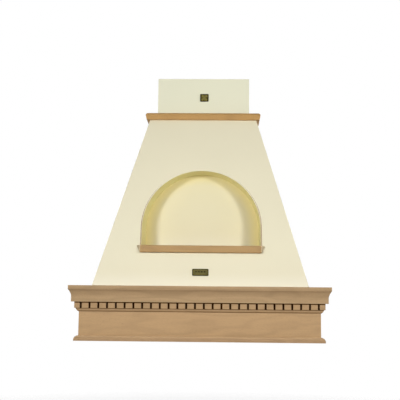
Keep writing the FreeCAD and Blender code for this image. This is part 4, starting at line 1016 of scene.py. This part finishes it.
def makeLamp(lamp, aim):
    # The lamp's own -Z axis points from its place to the aim.
    data = bpy.data.lights.new(lamp["name"], "AREA")
    data.shape = "SQUARE"
    data.size = lamp["size"]
    data.energy = lamp["power"]
    data.spread = math.radians(lamp["spread"])
    away = np.array(lamp["place"]) - np.array(aim)
    away = away / np.linalg.norm(away)
    side = np.cross((0.0, 0.0, 1.0), away)
    side = side / np.linalg.norm(side)
    pose = np.eye(4)
    pose[:3, 0] = side
    pose[:3, 1] = np.cross(away, side)
    pose[:3, 2] = away
    pose[:3, 3] = lamp["place"]
    holder = bpy.data.objects.new(lamp["name"], data)
    bpy.context.scene.collection.objects.link(holder)
    holder.matrix_world = Matrix(pose.tolist())


def makeSurround(setup):
    # Seen, mirrored or looked through, it is white; as a light, it is weak.
    world = bpy.data.worlds.new("surround")
    bpy.context.scene.world = world
    finish = Finish(world)
    seen = finish.add("LightPath", out="Is Camera Ray")
    mirrored = finish.add("LightPath", out="Is Glossy Ray")
    through = finish.add("LightPath", out="Is Transmission Ray")
    shown = finish.most(finish.most(seen, mirrored), through)
    strength = shown * (1.0 - setup["surround"]) + setup["surround"]
    glow = finish.add("Background", None, {"Color": white, "Strength": strength})
    finish.add("OutputWorld", None, {"Surface": glow})


def makeFloor(setup):
    # A square sheet whose camera view fades to nothing with the distance from
    # its middle, so that it meets the white surround without an edge. From
    # below it isn't seen at all.
    half, level, count = setup["floorReach"], setup["floorLevel"], setup["floorPoints"]
    across = np.linspace(-half, half, count)
    gridX, gridY = np.meshgrid(across, across, indexing="ij")
    points = np.stack([gridX, gridY, np.full_like(gridX, level)], axis=-1).reshape(-1, 3)
    index = np.arange(count * count).reshape(count, count)
    faces = np.stack([index[:-1, :-1], index[1:, :-1], index[1:, 1:], index[:-1, 1:]], axis=-1).reshape(-1, 4)
    mesh = bpy.data.meshes.new("floor")
    mesh.from_pydata(points.tolist(), [], faces.tolist())
    floor = bpy.data.objects.new("floor", mesh)
    bpy.context.scene.collection.objects.link(floor)
    finish = newFinish("pale_floor")
    spot = finish.where((1.0, 1.0, 0.0))
    radius = finish.add("VectorMath", {"operation": "LENGTH"}, {0: spot}, out="Value")
    fade = finish.ramp(radius * (1.0 / half), (setup["floorFade"] / half, 0.0), (0.85, 1.0))
    mottle = finish.noise(spot, 5.0, 2.0)
    colours = finish.mix(mottle, shaded(setup["floorDark"]), shaded(setup["floorLight"]))
    pale = finish.add("BsdfPrincipled", None, {"Base Color": colours, "Roughness": 0.8})
    glow = finish.add("Emission", None, {"Color": white, "Strength": setup["floorLift"]})
    lifted = finish.add("AddShader", None, {0: pale, 1: glow})
    seen = finish.add("LightPath", out="Is Camera Ray")
    shown = finish.add("MixShader", None, {0: seen, 1: pale, 2: lifted})
    clear = finish.add("BsdfTransparent")
    below = finish.add("NewGeometry", out="Backfacing")
    unseen = seen * finish.most(fade, below)
    mesh.materials.append(finish.close(finish.add("MixShader", None, {0: unseen, 1: shown, 2: clear})))


for lamp in studioSetup["lamps"]:
    makeLamp(lamp, studioSetup["aim"])
makeSurround(studioSetup)
makeFloor(studioSetup)
bpy.context.scene.view_settings.view_transform = "Standard"
print("studio built")
